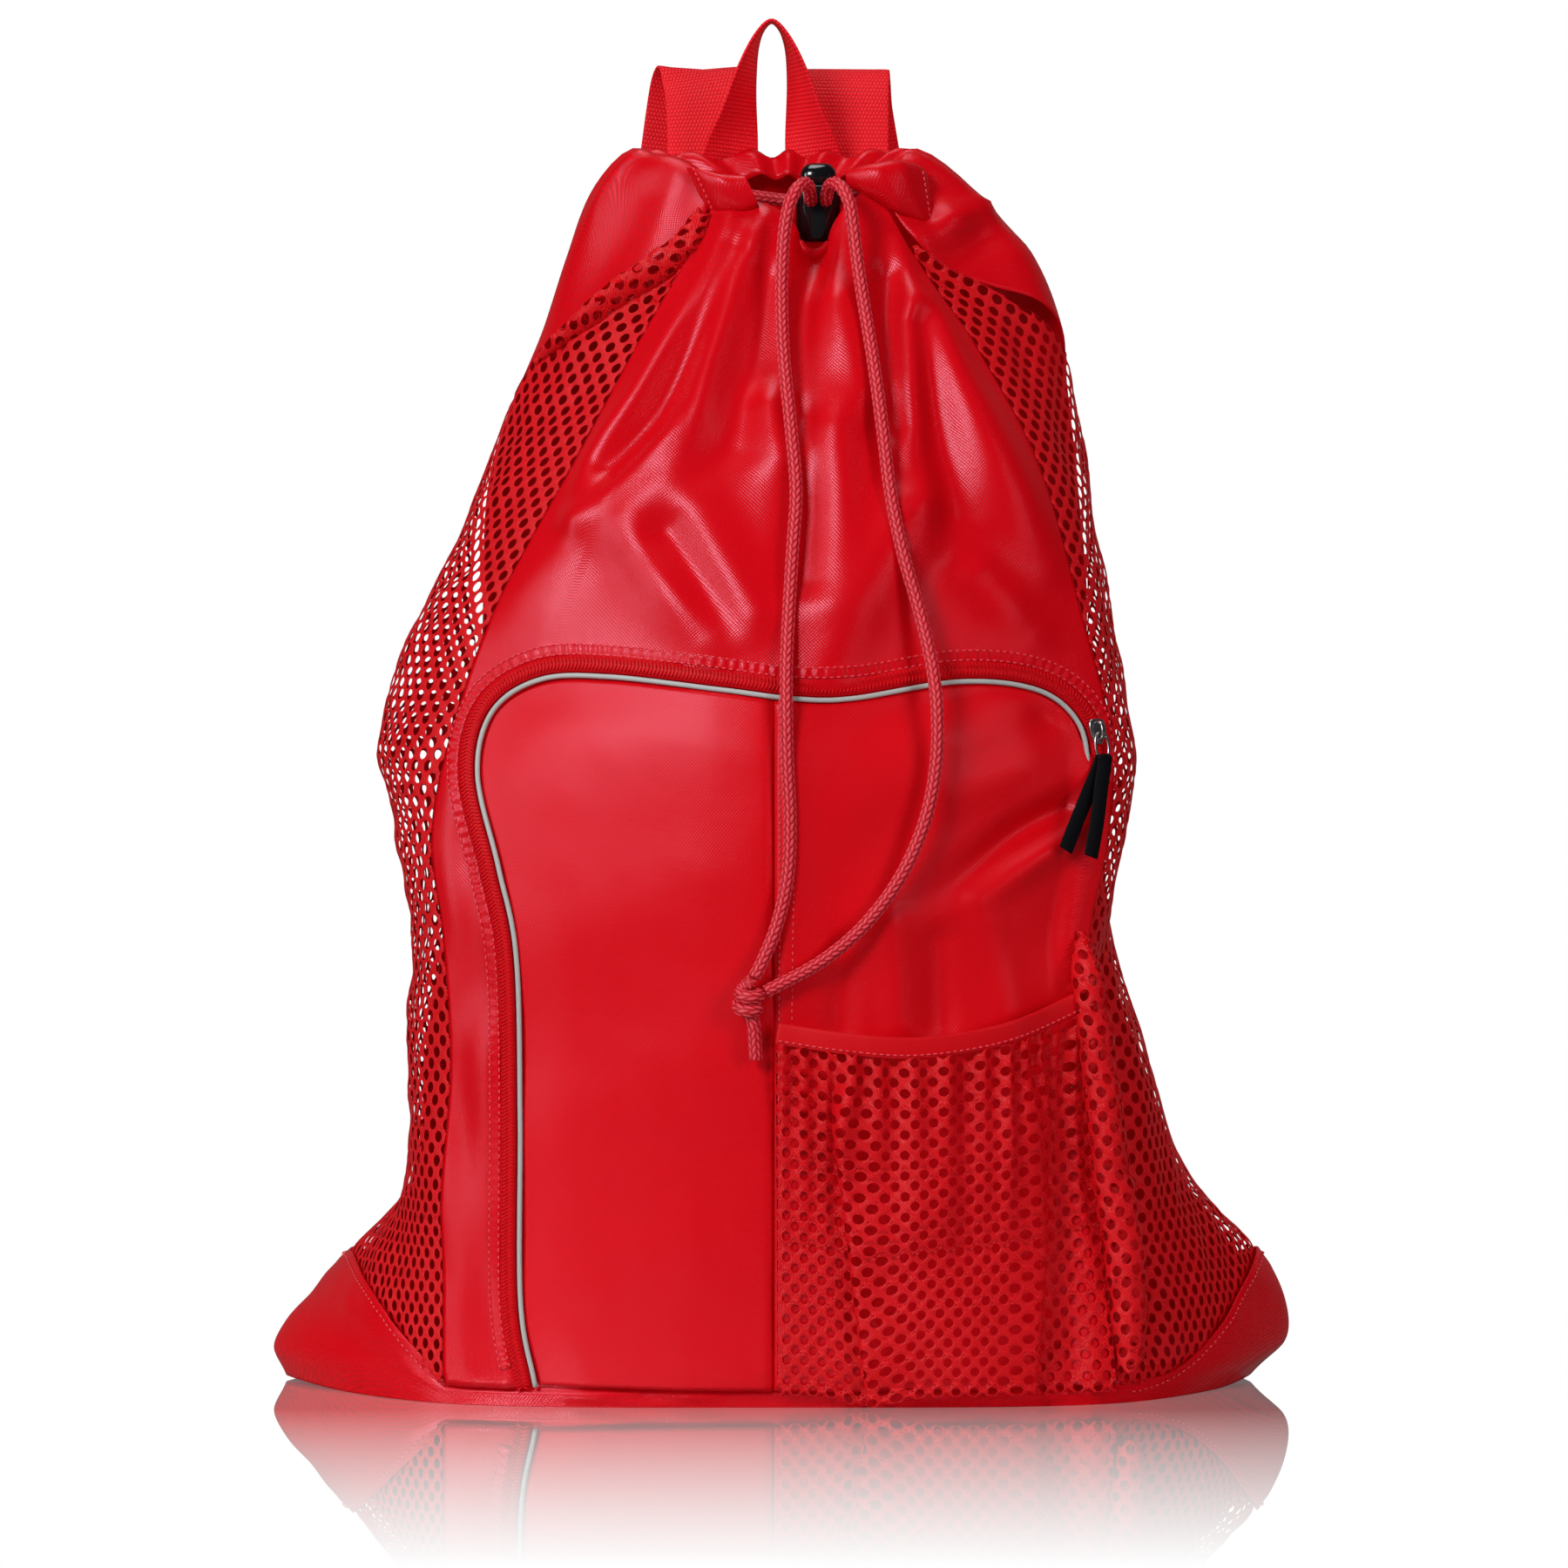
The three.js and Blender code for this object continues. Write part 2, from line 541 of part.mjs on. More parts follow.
// The pocket's faces, over the front panel
function pocketFace(edges) {
  const [columns, rows] = [9, 13];
  return wall(columns, rows, CLOTH, (u, row) => {
    const { x, z } = patchPoint(edges, u, row / rows);
    return frontAt(x, z, foldLift(POCKET_FOLDS, x, z));
  });
}

const pocketBottom = RIM_LOW + RIM_GAP;
const pocketSeam = (x) => {
  const top = besidePiping(PIPING_AT_SEAM, -POCKET_INSET).z;
  return (v) => ({ x, z: lerp(pocketBottom, top, v) });
};
// A stretch of the pocket's outline between two rows of the piping's table
const pocketEdge = (fromRow, toRow) => (share) => besidePiping(lerp(fromRow, toRow, share), -POCKET_INSET);
const straight = (from, to) => (share) => ({ x: lerp(from.x, to.x, share), z: lerp(from.z, to.z, share) });
const lastRow = PIPING.length - 1;

function pocketFaceLeft() {
  const seam = pocketSeam(POCKET_SEAM_X - SEAM_GAP / 2);
  const left = pocketEdge(0, PIPING_CORNER_LEFT);
  const topOf = pocketEdge(PIPING_CORNER_LEFT, PIPING_AT_SEAM);
  const high = (u) => (u === 1 ? seam(1) : topOf(u));
  return pocketFace({ left, right: seam, high, low: straight(left(0), seam(0)) });
}

function pocketFaceRight() {
  const seam = pocketSeam(POCKET_SEAM_X + SEAM_GAP / 2);
  const right = pocketEdge(lastRow, PIPING_CORNER_RIGHT);
  const topOf = pocketEdge(PIPING_AT_SEAM, PIPING_CORNER_RIGHT);
  const high = (u) => (u === 0 ? seam(1) : topOf(u));
  return pocketFace({ left: seam, right, high, low: straight(seam(0), right(0)) });
}

// Trims along the piping's line
function trimStations(offset, lift, steps) {
  return Array.from({ length: steps + 1 }, (_, i) => {
    const row = (i / steps) * lastRow;
    const { x, z } = besidePiping(row, offset);
    return frontAt(x, z, lift);
  });
}

function pocketPiping() {
  const steps = 64;
  return tube(trimStations(0, PIPING_LIFT, steps).map(({ point }) => point), PIPING_RADIUS, 6, steps);
}

function zipTape() {
  const steps = 64;
  const middle = trimStations(TAPE.offset, TAPE.lift, steps).map(({ point }) => point);
  const curve = new THREE.CatmullRomCurve3(middle);
  const stations = Array.from({ length: steps + 1 }, (_, i) => {
    const { x, z } = besidePiping((i / steps) * lastRow, TAPE.offset);
    const { point, normal } = frontAt(x, z, TAPE.lift);
    const across = curve.getTangent(i / steps).cross(normal).normalize();
    return { at: point, across, out: normal };
  });
  return ribbon(stations, TAPE.width, TAPE.thickness);
}

// The mesh pocket and its bound edge
const bandCurve = new THREE.CatmullRomCurve3(BAND_LINE.map(({ x, z }) => new THREE.Vector3(x, 0, z)));

// How far the mesh pocket stands off the pocket's face, at shares across and up
function meshPocketLift(u, v) {
  const puff = MESH_POCKET.puff * Math.sin(Math.PI * u) ** 0.8 * lerp(0.7, 1, smoothstep(v, 0, 0.5));
  const gather = v * Math.sin(Math.PI * u) * Math.cos(2 * Math.PI * MESH_POCKET.gathers * u);
  return MESH_POCKET.low + puff + MESH_POCKET.gatherHeight * gather;
}

function meshPocket() {
  const [columns, rows] = [18, 8];
  const high = (u) => bandCurve.getPoint(u);
  const low = straight({ x: MESH_POCKET.left, z: pocketBottom }, { x: MESH_POCKET.right, z: pocketBottom });
  const edges = { low, high, left: straight(low(0), high(0)), right: straight(low(1), high(1)) };
  return wall(columns, rows, NET, (u, row) => {
    const { x, z } = patchPoint(edges, u, row / rows);
    return frontAt(x, z, meshPocketLift(u, row / rows));
  });
}

function meshPocketBand() {
  const steps = 18;
  const stations = Array.from({ length: steps + 1 }, (_, i) => {
    const u = i / steps;
    const { x, z } = bandCurve.getPoint(u);
    const rise = SEAM_GAP + BAND.height / 2;
    const { point, normal } = frontAt(x, z, meshPocketLift(u, 1) - NET / 2);
    point.z += rise;
    return { at: point, across: Z_AXIS.clone(), out: normal.setZ(0).normalize() };
  });
  return ribbon(stations, BAND.height, BAND.thickness);
}

// Webbing
function hangLoop() {
  const rows = HANG_LOOP_STATIONS.map((row, i) => ({ ...row, i }));
  const curve = new THREE.CatmullRomCurve3(rows.map(vec));
  const across = (t) => {
    const turn = degToRad(along(rows, "turn", "i", t * (rows.length - 1)));
    return new THREE.Vector3(Math.cos(turn), Math.sin(turn), 0);
  };
  return ribbon(ribbonStations(curve, 30, across), HANG_LOOP.width, HANG_LOOP.thickness);
}

function shoulderStrap(side) {
  const { top, bottom } = STRAP_ENDS[side];
  const curve = new THREE.CatmullRomCurve3(
    STRAP_STATIONS.map((row) => new THREE.Vector3(lerp(top, bottom, row[side]), row.y, row.z)));
  return ribbon(ribbonStations(curve, 36, () => X_AXIS.clone()), STRAP.width, STRAP.thickness);
}

// The drawcord and its lock
const strand = (route, steps) => tube(route.map(vec), CORD_DIAMETER / 2, CORD_SIDES, steps);

function knot() {
  return new THREE.SphereGeometry(0.5, 16, 12).rotateX(Math.PI / 2)
    .scale(KNOT.width, KNOT.depth, KNOT.height).translate(KNOT.x, KNOT.y, KNOT.z);
}

// An upright block with an oval plan and rounded edges
function ovalBlock(width, depth, bottom, top, round) {
  const radius = depth / 2 - round;
  const reach = width / 2 - round - radius;
  const plan = new THREE.Shape();
  plan.absarc(reach, 0, radius, -Math.PI / 2, Math.PI / 2);
  plan.absarc(-reach, 0, radius, Math.PI / 2, (3 * Math.PI) / 2);
  return new THREE.ExtrudeGeometry(plan, {
    depth: top - bottom - 2 * round,
    bevelEnabled: round > 0,
    bevelSize: round,
    bevelThickness: round,
    bevelSegments: 4,
    curveSegments: 10,
  }).translate(LOCK.x, LOCK.y, bottom + round);
}

function slot(bottom, top) {
  const through = 40;
  return solidOf(new THREE.BoxGeometry(LOCK_SLOT.width, through, top - bottom)
    .translate(LOCK.x, LOCK.y, (top + bottom) / 2));
}

function lockBody() {
  const top = LOCK.bottom + LOCK.height;
  const bore = [LOCK.width - 2 * LOCK.wall, LOCK.depth - 2 * LOCK.wall, LOCK.bottom + LOCK.floor, top + 5];
  return geometryOf(solidOf(ovalBlock(LOCK.width, LOCK.depth, LOCK.bottom, top, LOCK.round))
    .subtract(solidOf(ovalBlock(...bore, 0)))
    .subtract(slot(LOCK_SLOT.bottom, LOCK_SLOT.bodyTop)));
}

function lockButton() {
  const foot = ovalBlock(BUTTON.width, BUTTON.depth, BUTTON.bottom, BUTTON.top - BUTTON.dome, 0);
  const dome = ovalBlock(BUTTON.width, BUTTON.depth, BUTTON.top - 2.1 * BUTTON.dome, BUTTON.top, BUTTON.dome);
  return geometryOf(solidOf(foot).add(solidOf(dome)).subtract(slot(LOCK_SLOT.bottom, LOCK_SLOT.buttonTop)));
}

// The zip's slider lies in its own frame: x across the tape, y down along it, z out of the bag
const sliderFrame = (() => {
  const { x, z } = besidePiping(SLIDER_PLACE, TAPE.offset);
  const { point, normal } = frontAt(x, z, TAPE.thickness / 2);
  const down = new THREE.Vector3(0, 0, -1).addScaledVector(normal, normal.z).normalize();
  const across = down.clone().cross(normal);
  return new THREE.Matrix4().makeBasis(across, down, normal).setPosition(point);
})();

function zipSlider() {
  const [half, long] = [SLIDER.width / 2, SLIDER.length / 2];
  const plan = new THREE.Shape([
    new THREE.Vector2(-half, -long), new THREE.Vector2(half, -long), new THREE.Vector2(half, 0),
    new THREE.Vector2(half * 0.6, long), new THREE.Vector2(-half * 0.6, long), new THREE.Vector2(-half, 0),
  ]);
  const plate = new THREE.ExtrudeGeometry(plan, { depth: SLIDER.thickness, bevelEnabled: false })
    .translate(0, 0, SLIDER.lift);
  const arch = new THREE.Shape();
  const reach = long * 0.75;
  arch.absellipse(0, 0, reach, SLIDER.bridgeRise, 0, Math.PI);
  const hole = new THREE.Path();
  hole.absellipse(0, 0.05, reach - LINK.wire, SLIDER.bridgeRise - 1, 0, Math.PI);
  arch.holes.push(hole);
  const extrusion = { depth: SLIDER.bridge, bevelEnabled: false, curveSegments: 12 };
  const bridge = new THREE.ExtrudeGeometry(arch, extrusion)
    .translate(0, 0, -SLIDER.bridge / 2).rotateY(Math.PI / 2).rotateX(Math.PI / 2)
    .translate(0, 0, SLIDER.lift + SLIDER.thickness - 0.1);
  return geometryOf(solidOf(plate).add(solidOf(bridge))).applyMatrix4(sliderFrame);
}

// The underside of the pull's wire loop in the slider's frame
const linkLevel = SLIDER.lift + SLIDER.thickness + 1.3;
const linkTop = 0.3; // where its upper end lies under the bridge

function zipPullLink() {
  const radius = LINK.width / 2;
  const outline = new THREE.Shape();
  const run = LINK.length - LINK.width;
  outline.absarc(0, 0, radius, Math.PI, 2 * Math.PI);
  outline.lineTo(radius, run + radius);
  outline.lineTo(-radius, run + radius);
  const hole = new THREE.Path();
  hole.absarc(0, 0, radius - LINK.wire, Math.PI, 2 * Math.PI);
  hole.lineTo(radius - LINK.wire, run + radius - LINK.wire);
  hole.lineTo(LINK.wire - radius, run + radius - LINK.wire);
  outline.holes.push(hole);
  return new THREE.ExtrudeGeometry(outline, { depth: LINK.wire, bevelEnabled: false, curveSegments: 10 })
    .translate(0, linkTop + radius, linkLevel).applyMatrix4(sliderFrame);
}

// A ribbon folded over the lower end of the pull's loop, with its two ends hanging side by side
function zipPullRibbon() {
  const bar = new THREE.Vector3(0, linkTop + LINK.length - LINK.wire / 2, linkLevel + LINK.wire / 2)
    .applyMatrix4(sliderFrame);
  const over = LINK.wire / 2 + RIBBON.thickness / 2 + 0.55;
  const right = new THREE.Vector3().setFromMatrixColumn(sliderFrame, 0).negate();
  const out = new THREE.Vector3().setFromMatrixColumn(sliderFrame, 2).setZ(0).normalize();
  const turn = table(
    ["side", "front", "up"],
    [[-0.2, over, -3], [0, over, 0], [0, 0, over], [0, -over, 0], [-0.5, 0.6 - over, -3]],
  );
  const stations = [...RIBBON_FRONT_END, ...turn, ...RIBBON_BACK_END].map(({ side, front, up }) =>
    bar.clone().addScaledVector(right, side).addScaledVector(out, front).addScaledVector(Z_AXIS, up));
  const curve = new THREE.CatmullRomCurve3(stations);
  const across = (t) => X_AXIS.clone().lerp(right, 1 - smoothstep(Math.abs(t - 0.5), 0.08, 0.3));
  return ribbon(ribbonStations(curve, 44, across), RIBBON.width, RIBBON.thickness);
}

// The bag
const bag = new THREE.Group();
bag.position.set(-CENTRE_SHIFT.x, -CENTRE_SHIFT.y, 0);

function addPiece(name, geometry, material) {
  const mesh = new THREE.Mesh(geometry, material);
  mesh.name = name;
  bag.add(mesh);
}

const leftSide = [() => 1, (h) => backSeam("left", h)];
const rightSide = [(h) => -backSeam("right", h), () => -1];
const back = [(h) => backSeam("left", h), (h) => 8 - backSeam("right", h)];
addPiece("front_panel", bodyPanel(20, allLevels, CLOTH, frontFace, () => -1, () => 1), NYLON_RED);
addPiece("side_mesh_left", bodyPanel(10, sideLevels, NET, bodyPoint, ...leftSide), NET_RED);
addPiece("side_mesh_right", bodyPanel(10, sideLevels, NET, bodyPoint, ...rightSide), NET_RED);
addPiece("back_panel", bodyPanel(22, allLevels, CLOTH, bodyPoint, ...back), NYLON_RED);
addPiece("bottom_panel", bottomPanel(), NYLON_RED);
addPiece("pocket_face_left", pocketFaceLeft(), NYLON_RED);
addPiece("pocket_face_right", pocketFaceRight(), NYLON_RED);
addPiece("pocket_piping", pocketPiping(), PIPING_GREY);
addPiece("zip_tape", zipTape(), TAPE_RED);
addPiece("zip_slider", zipSlider(), SLIDER_METAL);
addPiece("zip_pull_link", zipPullLink(), SLIDER_METAL);
addPiece("zip_pull_ribbon", zipPullRibbon(), BLACK_RIBBON);
addPiece("mesh_pocket", meshPocket(), NET_RED);
addPiece("mesh_pocket_band", meshPocketBand(), TAPE_RED);
addPiece("hang_loop", hangLoop(), WEBBING_RED);
addPiece("shoulder_strap_left", shoulderStrap("left"), WEBBING_RED);
addPiece("shoulder_strap_right", shoulderStrap("right"), WEBBING_RED);
addPiece("drawcord_left", strand(STRAND_LEFT, 60), CORD_RED);
addPiece("drawcord_right", strand(STRAND_RIGHT, 60), CORD_RED);
addPiece("drawcord_knot", knot(), CORD_RED);
addPiece("drawcord_tail", strand(TAIL, 4), CORD_RED);
addPiece("cord_lock_body", lockBody(), BLACK_PLASTIC);
addPiece("cord_lock_button", lockButton(), BLACK_PLASTIC);

export default bag;
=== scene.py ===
# %% [markdown]
# # A red mesh equipment bag
# This lesson gives the CAD frame of a drawstring bag its looks. The bag is a standing sack of glossy nylon
# and open net, closed by a braided cord and a spring lock, with a zip pocket and a net pocket on its front.
# Every piece is a surface worked out with numpy as whole arrays, because cloth is easiest to describe as a
# function of two numbers: how far across it is, and how far up.

import bpy
import numpy as np
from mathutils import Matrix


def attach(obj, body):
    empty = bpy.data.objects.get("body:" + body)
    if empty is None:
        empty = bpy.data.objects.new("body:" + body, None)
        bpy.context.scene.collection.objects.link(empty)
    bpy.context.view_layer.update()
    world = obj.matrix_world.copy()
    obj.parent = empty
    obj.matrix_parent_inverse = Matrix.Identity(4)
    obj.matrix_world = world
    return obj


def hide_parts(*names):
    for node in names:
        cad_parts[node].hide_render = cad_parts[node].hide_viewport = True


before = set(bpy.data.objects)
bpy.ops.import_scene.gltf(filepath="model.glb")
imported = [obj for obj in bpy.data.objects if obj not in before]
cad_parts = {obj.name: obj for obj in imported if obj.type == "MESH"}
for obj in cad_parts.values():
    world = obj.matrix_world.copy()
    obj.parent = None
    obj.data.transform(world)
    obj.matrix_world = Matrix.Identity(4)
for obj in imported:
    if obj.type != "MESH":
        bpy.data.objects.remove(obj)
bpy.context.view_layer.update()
MM = 0.001  # the tables repeat the CAD's millimetres
MIDDLE = np.array([-0.3, -3.0, 0.0]) * MM  # from the axis of the bag's sections to the middle of its box

# %% [markdown]
# ## The camera
# The photograph looks straight at the front from a little above the floor and from far away, so the bag's
# upright lines stay upright. A long lens at three and a half metres gives the same view.

# %% Camera
VIEW_DISTANCE = 3.5
VIEW_RISE = np.radians(2.5)
VIEW_WIDTH = 0.666  # metres across the picture, at the bag's middle
AIM = np.array([0.0, 0.0, 0.255]) - MIDDLE

camera = bpy.data.objects.new("camera", bpy.data.cameras.new("camera"))
bpy.context.scene.collection.objects.link(camera)
camera.data.sensor_width = 36.0
camera.data.lens = camera.data.sensor_width * VIEW_DISTANCE / VIEW_WIDTH
camera.location = AIM + VIEW_DISTANCE * np.array([0.0, -np.cos(VIEW_RISE), np.sin(VIEW_RISE)])
camera.rotation_euler = (np.pi / 2 - VIEW_RISE, 0.0, 0.0)
bpy.context.scene.camera = camera
print("lens", round(camera.data.lens, 1), "mm")

# %% [markdown]
# ## Arrays into pieces
# A piece is made in three moves: arrays of points and faces become a mesh, the mesh gets a material, and
# the piece is told which CAD body carries it and which CAD nodes it stands for. The helpers below do the
# first and last move for every piece in the lesson.


# %% Helpers for pieces
def all_round(count):
    """Angles spread evenly once round."""
    return np.arange(count) / count * 2 * np.pi


def squarish(turn, power):
    """Cosine and sine raised to a power with their signs kept: a round that is squarer for lower powers."""
    return [np.sign(wave) * np.abs(wave) ** power for wave in (np.cos(turn), np.sin(turn))]


def unit(vectors):
    """The same directions with a length of one."""
    return vectors / np.linalg.norm(vectors, axis=-1, keepdims=True)


def ease(x, low, high):
    """0 below low, 1 above high, and between them three times the square less twice the cube of the share."""
    share = np.clip((x - low) / (high - low), 0, 1)
    return share * share * (3 - 2 * share)


def grid_faces(rows, columns):
    """Four-cornered faces between neighbouring points of a grid, counted row by row."""
    index = np.arange(rows * columns).reshape(rows, columns)
    corners = [index[:-1, :-1], index[:-1, 1:], index[1:, 1:], index[1:, :-1]]
    return np.stack(corners, axis=-1).reshape(-1, 4)


print("faces between 3 by 3 points:", len(grid_faces(3, 3)))


# %% From arrays to pieces
def make_piece(name, points, faces, flat=None, values=None):
    """A mesh object from points about the sections' axis, faces, flat cloth places as UV and point values."""
    mesh = bpy.data.meshes.new(name)
    mesh.vertices.add(len(points))
    mesh.vertices.foreach_set("co", (points - MIDDLE).astype(np.float32).ravel())
    mesh.loops.add(faces.size)
    mesh.polygons.add(len(faces))
    mesh.polygons.foreach_set("loop_start", np.arange(0, faces.size, faces.shape[1], dtype=np.int32))
    mesh.polygons.foreach_set("vertices", faces.astype(np.int32).ravel())
    mesh.update(calc_edges=True)
    mesh.shade_smooth()
    if flat is not None:
        layer = mesh.uv_layers.new(name="flat")
        layer.data.foreach_set("uv", flat[faces.ravel()].astype(np.float32).ravel())
    for key, value in (values or {}).items():
        attribute = mesh.attributes.new(key, "FLOAT", "POINT")
        attribute.data.foreach_set("value", value.astype(np.float32).ravel())
    piece = bpy.data.objects.new(name, mesh)
    bpy.context.scene.collection.objects.link(piece)
    return piece


def dress(piece, material, slot, nodes=(), body="bag", thickness=None):
    """Gives a piece its material and thickness, and says what carries it and what it replaces."""
    piece.data.materials.append(material)
    if thickness:
        wall = piece.modifiers.new("wall", "SOLIDIFY")
        wall.thickness = thickness
        wall.offset = -1.0
    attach(piece, body)
    if nodes:
        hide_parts(*nodes)
    sides = len(piece.data.polygons[0].vertices)
    triangles = len(piece.data.polygons) * (sides - 2) * (2 if thickness else 1)
    print(f"{piece.name}: about {triangles} triangles, slot {slot}")
    return piece


print("pieces are moved from the sections' axis by", (-MIDDLE).tolist(), "m")


# %% [markdown]
# ## Materials from nodes
# The materials are built from a few shader node groups. A group takes a place on the cloth and gives back a
# height or a shade, and each material decides what to do with it: a height goes to a Bump node, a shade to
# the colour.


# %% Helpers for materials
def fill_inputs(tree, node, inputs):
    """Sets a node's inputs to values, or links them to other nodes' outputs."""
    for key, value in inputs.items():
        if isinstance(value, bpy.types.NodeSocket):
            tree.links.new(value, node.inputs[key])
        else:
            node.inputs[key].default_value = value


def add_node(tree, kind, inputs=None, **settings):
    """A node with its settings and its inputs."""
    made = tree.nodes.new(kind)
    for name, value in settings.items():
        setattr(made, name, value)
    fill_inputs(tree, made, inputs or {})
    return made


def maths(tree, operation, *inputs):
    """The result of one arithmetic step on values or sockets."""
    return add_node(tree, "ShaderNodeMath", dict(enumerate(inputs)), operation=operation).outputs[0]


def clamped(tree, value):
    """A value held between 0 and 1."""
    return add_node(tree, "ShaderNodeClamp", {"Value": value}).outputs[0]


print("node helpers: inputs take values or other nodes' outputs")


# %% Groups and materials
def new_group(name, inputs, outputs):
    """An empty shader node group with named inputs and outputs, and its two end nodes."""
    group = bpy.data.node_groups.new(name, "ShaderNodeTree")
    for way, sockets in (("INPUT", inputs), ("OUTPUT", outputs)):
        for socket, kind in sockets:
            group.interface.new_socket(socket, in_out=way, socket_type=kind)
    return group, group.nodes.new("NodeGroupInput"), group.nodes.new("NodeGroupOutput")


def new_material(name):
    """A material with its node tree and its Principled shader."""
    material = bpy.data.materials.new(name)
    material.use_nodes = True
    return material, material.node_tree, material.node_tree.nodes["Principled BSDF"]


def blend_colour(tree, share, first, second):
    """A mix of two colours by a share from 0 to 1."""
    mix = add_node(tree, "ShaderNodeMix", data_type="RGBA")
    sockets = {socket.name: socket for socket in mix.inputs if socket.enabled}
    tree.links.new(share, sockets["Factor"])
    sockets["A"].default_value = (*first, 1.0)
    sockets["B"].default_value = (*second, 1.0)
    return next(socket for socket in mix.outputs if socket.enabled)


def bump(tree, height, distance, strength, under=None):
    """A normal that follows a height, laid over an earlier normal where there is one."""
    inputs = {"Height": height, "Distance": distance, "Strength": strength}
    if under is not None:
        inputs["Normal"] = under
    return add_node(tree, "ShaderNodeBump", inputs).outputs["Normal"]


print("material helpers: groups, blends and bumps")


# %% [markdown]
# ## The drawcord
# The cord is a soft braid about 5.4 mm thick. Its two strands leave the hem of the mouth, pass through the
# lock, drop over the front edge and hang down to a knot. Each strand is a round profile carried along a
# smooth line through the route's points, those of the CAD and one more inside the hem. The braid is in the
# shape itself: the radius swells over slanted grains that lie in columns, and the slant changes side from
# column to column.

# %% The strands' routes
STRAND_LEFT = MM * np.array([
    [-50, 7.5, 509.6], [-43.9, 8, 511.4], [-34, 9.4, 510.6], [-20, 15, 506], [-5, 17, 503.5],
    [6, 15, 502.4], [11.1, 8, 502.1], [11.5, 0, 502.1], [11.4, -13, 502.1], [11.2, -18, 503.6],
    [10.6, -23, 507], [8.8, -28.5, 508.8], [5.6, -34, 506.4], [2.4, -38, 500], [0.4, -40.2, 490],
    [-0.6, -42.6, 478], [-1, -48, 460], [0, -59, 435], [3, -72, 405], [5, -81, 380], [3.5, -90, 355],
    [2, -98, 330], [1, -106, 308], [1, -111.5, 290], [1.5, -114, 268], [2.5, -115.6, 245], [1.5, -117, 222],
    [-3, -118.6, 202], [-9, -120.4, 187], [-12.3, -121.6, 180.7],
])
STRAND_RIGHT = MM * np.array([
    [48, 7.5, 509.4], [41.9, 8, 511], [35.4, 9.6, 509.6], [28.5, 14.6, 505], [21.5, 13.4, 502.8],
    [17.8, 7, 502.1], [17.5, 0, 502.1], [17.6, -13, 502.1], [17.9, -18, 503.6], [18.8, -23, 507],
    [21, -28.5, 508.8], [24.4, -34, 506.4], [27.4, -38, 500], [29, -40.2, 490], [30.4, -42.6, 478],
    [33, -48, 460], [37, -59, 435], [41, -72, 405], [44, -81, 380], [49, -89, 355], [56, -95.5, 330],
    [61, -103, 308], [63, -108.6, 290], [62.5, -111.4, 268], [58, -113.4, 245], [48, -115.6, 222],
    [33, -117.6, 202], [15, -119.4, 187], [-7.5, -121.3, 174.9],
])
TAIL = MM * np.array([[-12.6, -121, 162.2], [-12.2, -120.4, 158], [-11.6, -119.4, 147]])
print("stations:", len(STRAND_LEFT), len(STRAND_RIGHT), len(TAIL))


# %% A smooth line through stations
def through(places, rows, at):
    """Values on a smooth curve through a table's rows: cubic pieces whose slopes come from the neighbours."""
    slopes = np.empty_like(rows)
    slopes[1:-1] = (rows[2:] - rows[:-2]) / (places[2:] - places[:-2])[:, None]
    slopes[0] = (rows[1] - rows[0]) / (places[1] - places[0])
    slopes[-1] = (rows[-1] - rows[-2]) / (places[-1] - places[-2])
    at = np.asarray(at, float)
    i = np.clip(np.searchsorted(places, at) - 1, 0, len(places) - 2)
    span = (places[i + 1] - places[i])[..., None]
    f = np.clip((at - places[i])[..., None] / span, 0, 1)
    start = rows[i] * (2 * f**3 - 3 * f**2 + 1) + slopes[i] * span * (f**3 - 2 * f**2 + f)
    return start + rows[i + 1] * (3 * f**2 - 2 * f**3) + slopes[i + 1] * span * (f**3 - f**2)


def run_along(points):
    """The way covered from the first point to each point of a line."""
    return np.r_[0, np.cumsum(np.linalg.norm(np.diff(points[:, :3], axis=0), axis=1))]


def even_path(stations, step):
    """A smooth line through stations, as points an even step apart, and the way covered at each."""
    fine = through(run_along(stations), stations, np.linspace(0, run_along(stations)[-1], 60 * len(stations)))
    run = run_along(fine)
    at = np.linspace(0, run[-1], int(round(run[-1] / step)) + 1)
    return np.stack([np.interp(at, run, column) for column in fine.T], axis=1), at


print("strands:", [round(run_along(s)[-1], 3) for s in (STRAND_LEFT, STRAND_RIGHT)], "m between stations")


# %% A profile carried along a path
def carry(path, side, across, out):
    """Rings of points: each is the path's point plus its profile's place across and out of the path."""
    forward = unit(np.gradient(path, axis=0))
    sideways = unit(side - forward * np.sum(side * forward, axis=1, keepdims=True))
    outward = np.cross(forward, sideways)
    return path[:, None] + across[..., None] * sideways[:, None] + out[..., None] * outward[:, None]


def closed_skin(rings):
    """Points and triangles over rings, closed at each end by a middle point, with faces turned outwards."""
    count, sides = rings.shape[:2]
    here = np.arange(count * sides).reshape(count, sides)
    beside = np.roll(here, -1, axis=1)
    quads = np.stack([here[:-1], beside[:-1], beside[1:], here[1:]], axis=-1).reshape(-1, 4)
    start = np.stack([np.full(sides, count * sides), beside[0], here[0]], axis=-1)
    end = np.stack([np.full(sides, count * sides + 1), here[-1], beside[-1]], axis=-1)
    faces = np.vstack([quads[:, [0, 1, 2]], quads[:, [0, 2, 3]], start, end])
    points = np.vstack([rings.reshape(-1, 3), rings[0].mean(axis=0), rings[-1].mean(axis=0)])
    a, b, c = (points[faces[:, k]] for k in range(3))
    volume = np.sum(a * np.cross(b, c))
    return points, faces if volume > 0 else faces[:, ::-1]


def with_ends(values):
    """Values of rings' points, with those of the two middle points at the ends."""
    return np.r_[values.ravel(), values[0].mean(), values[-1].mean()]


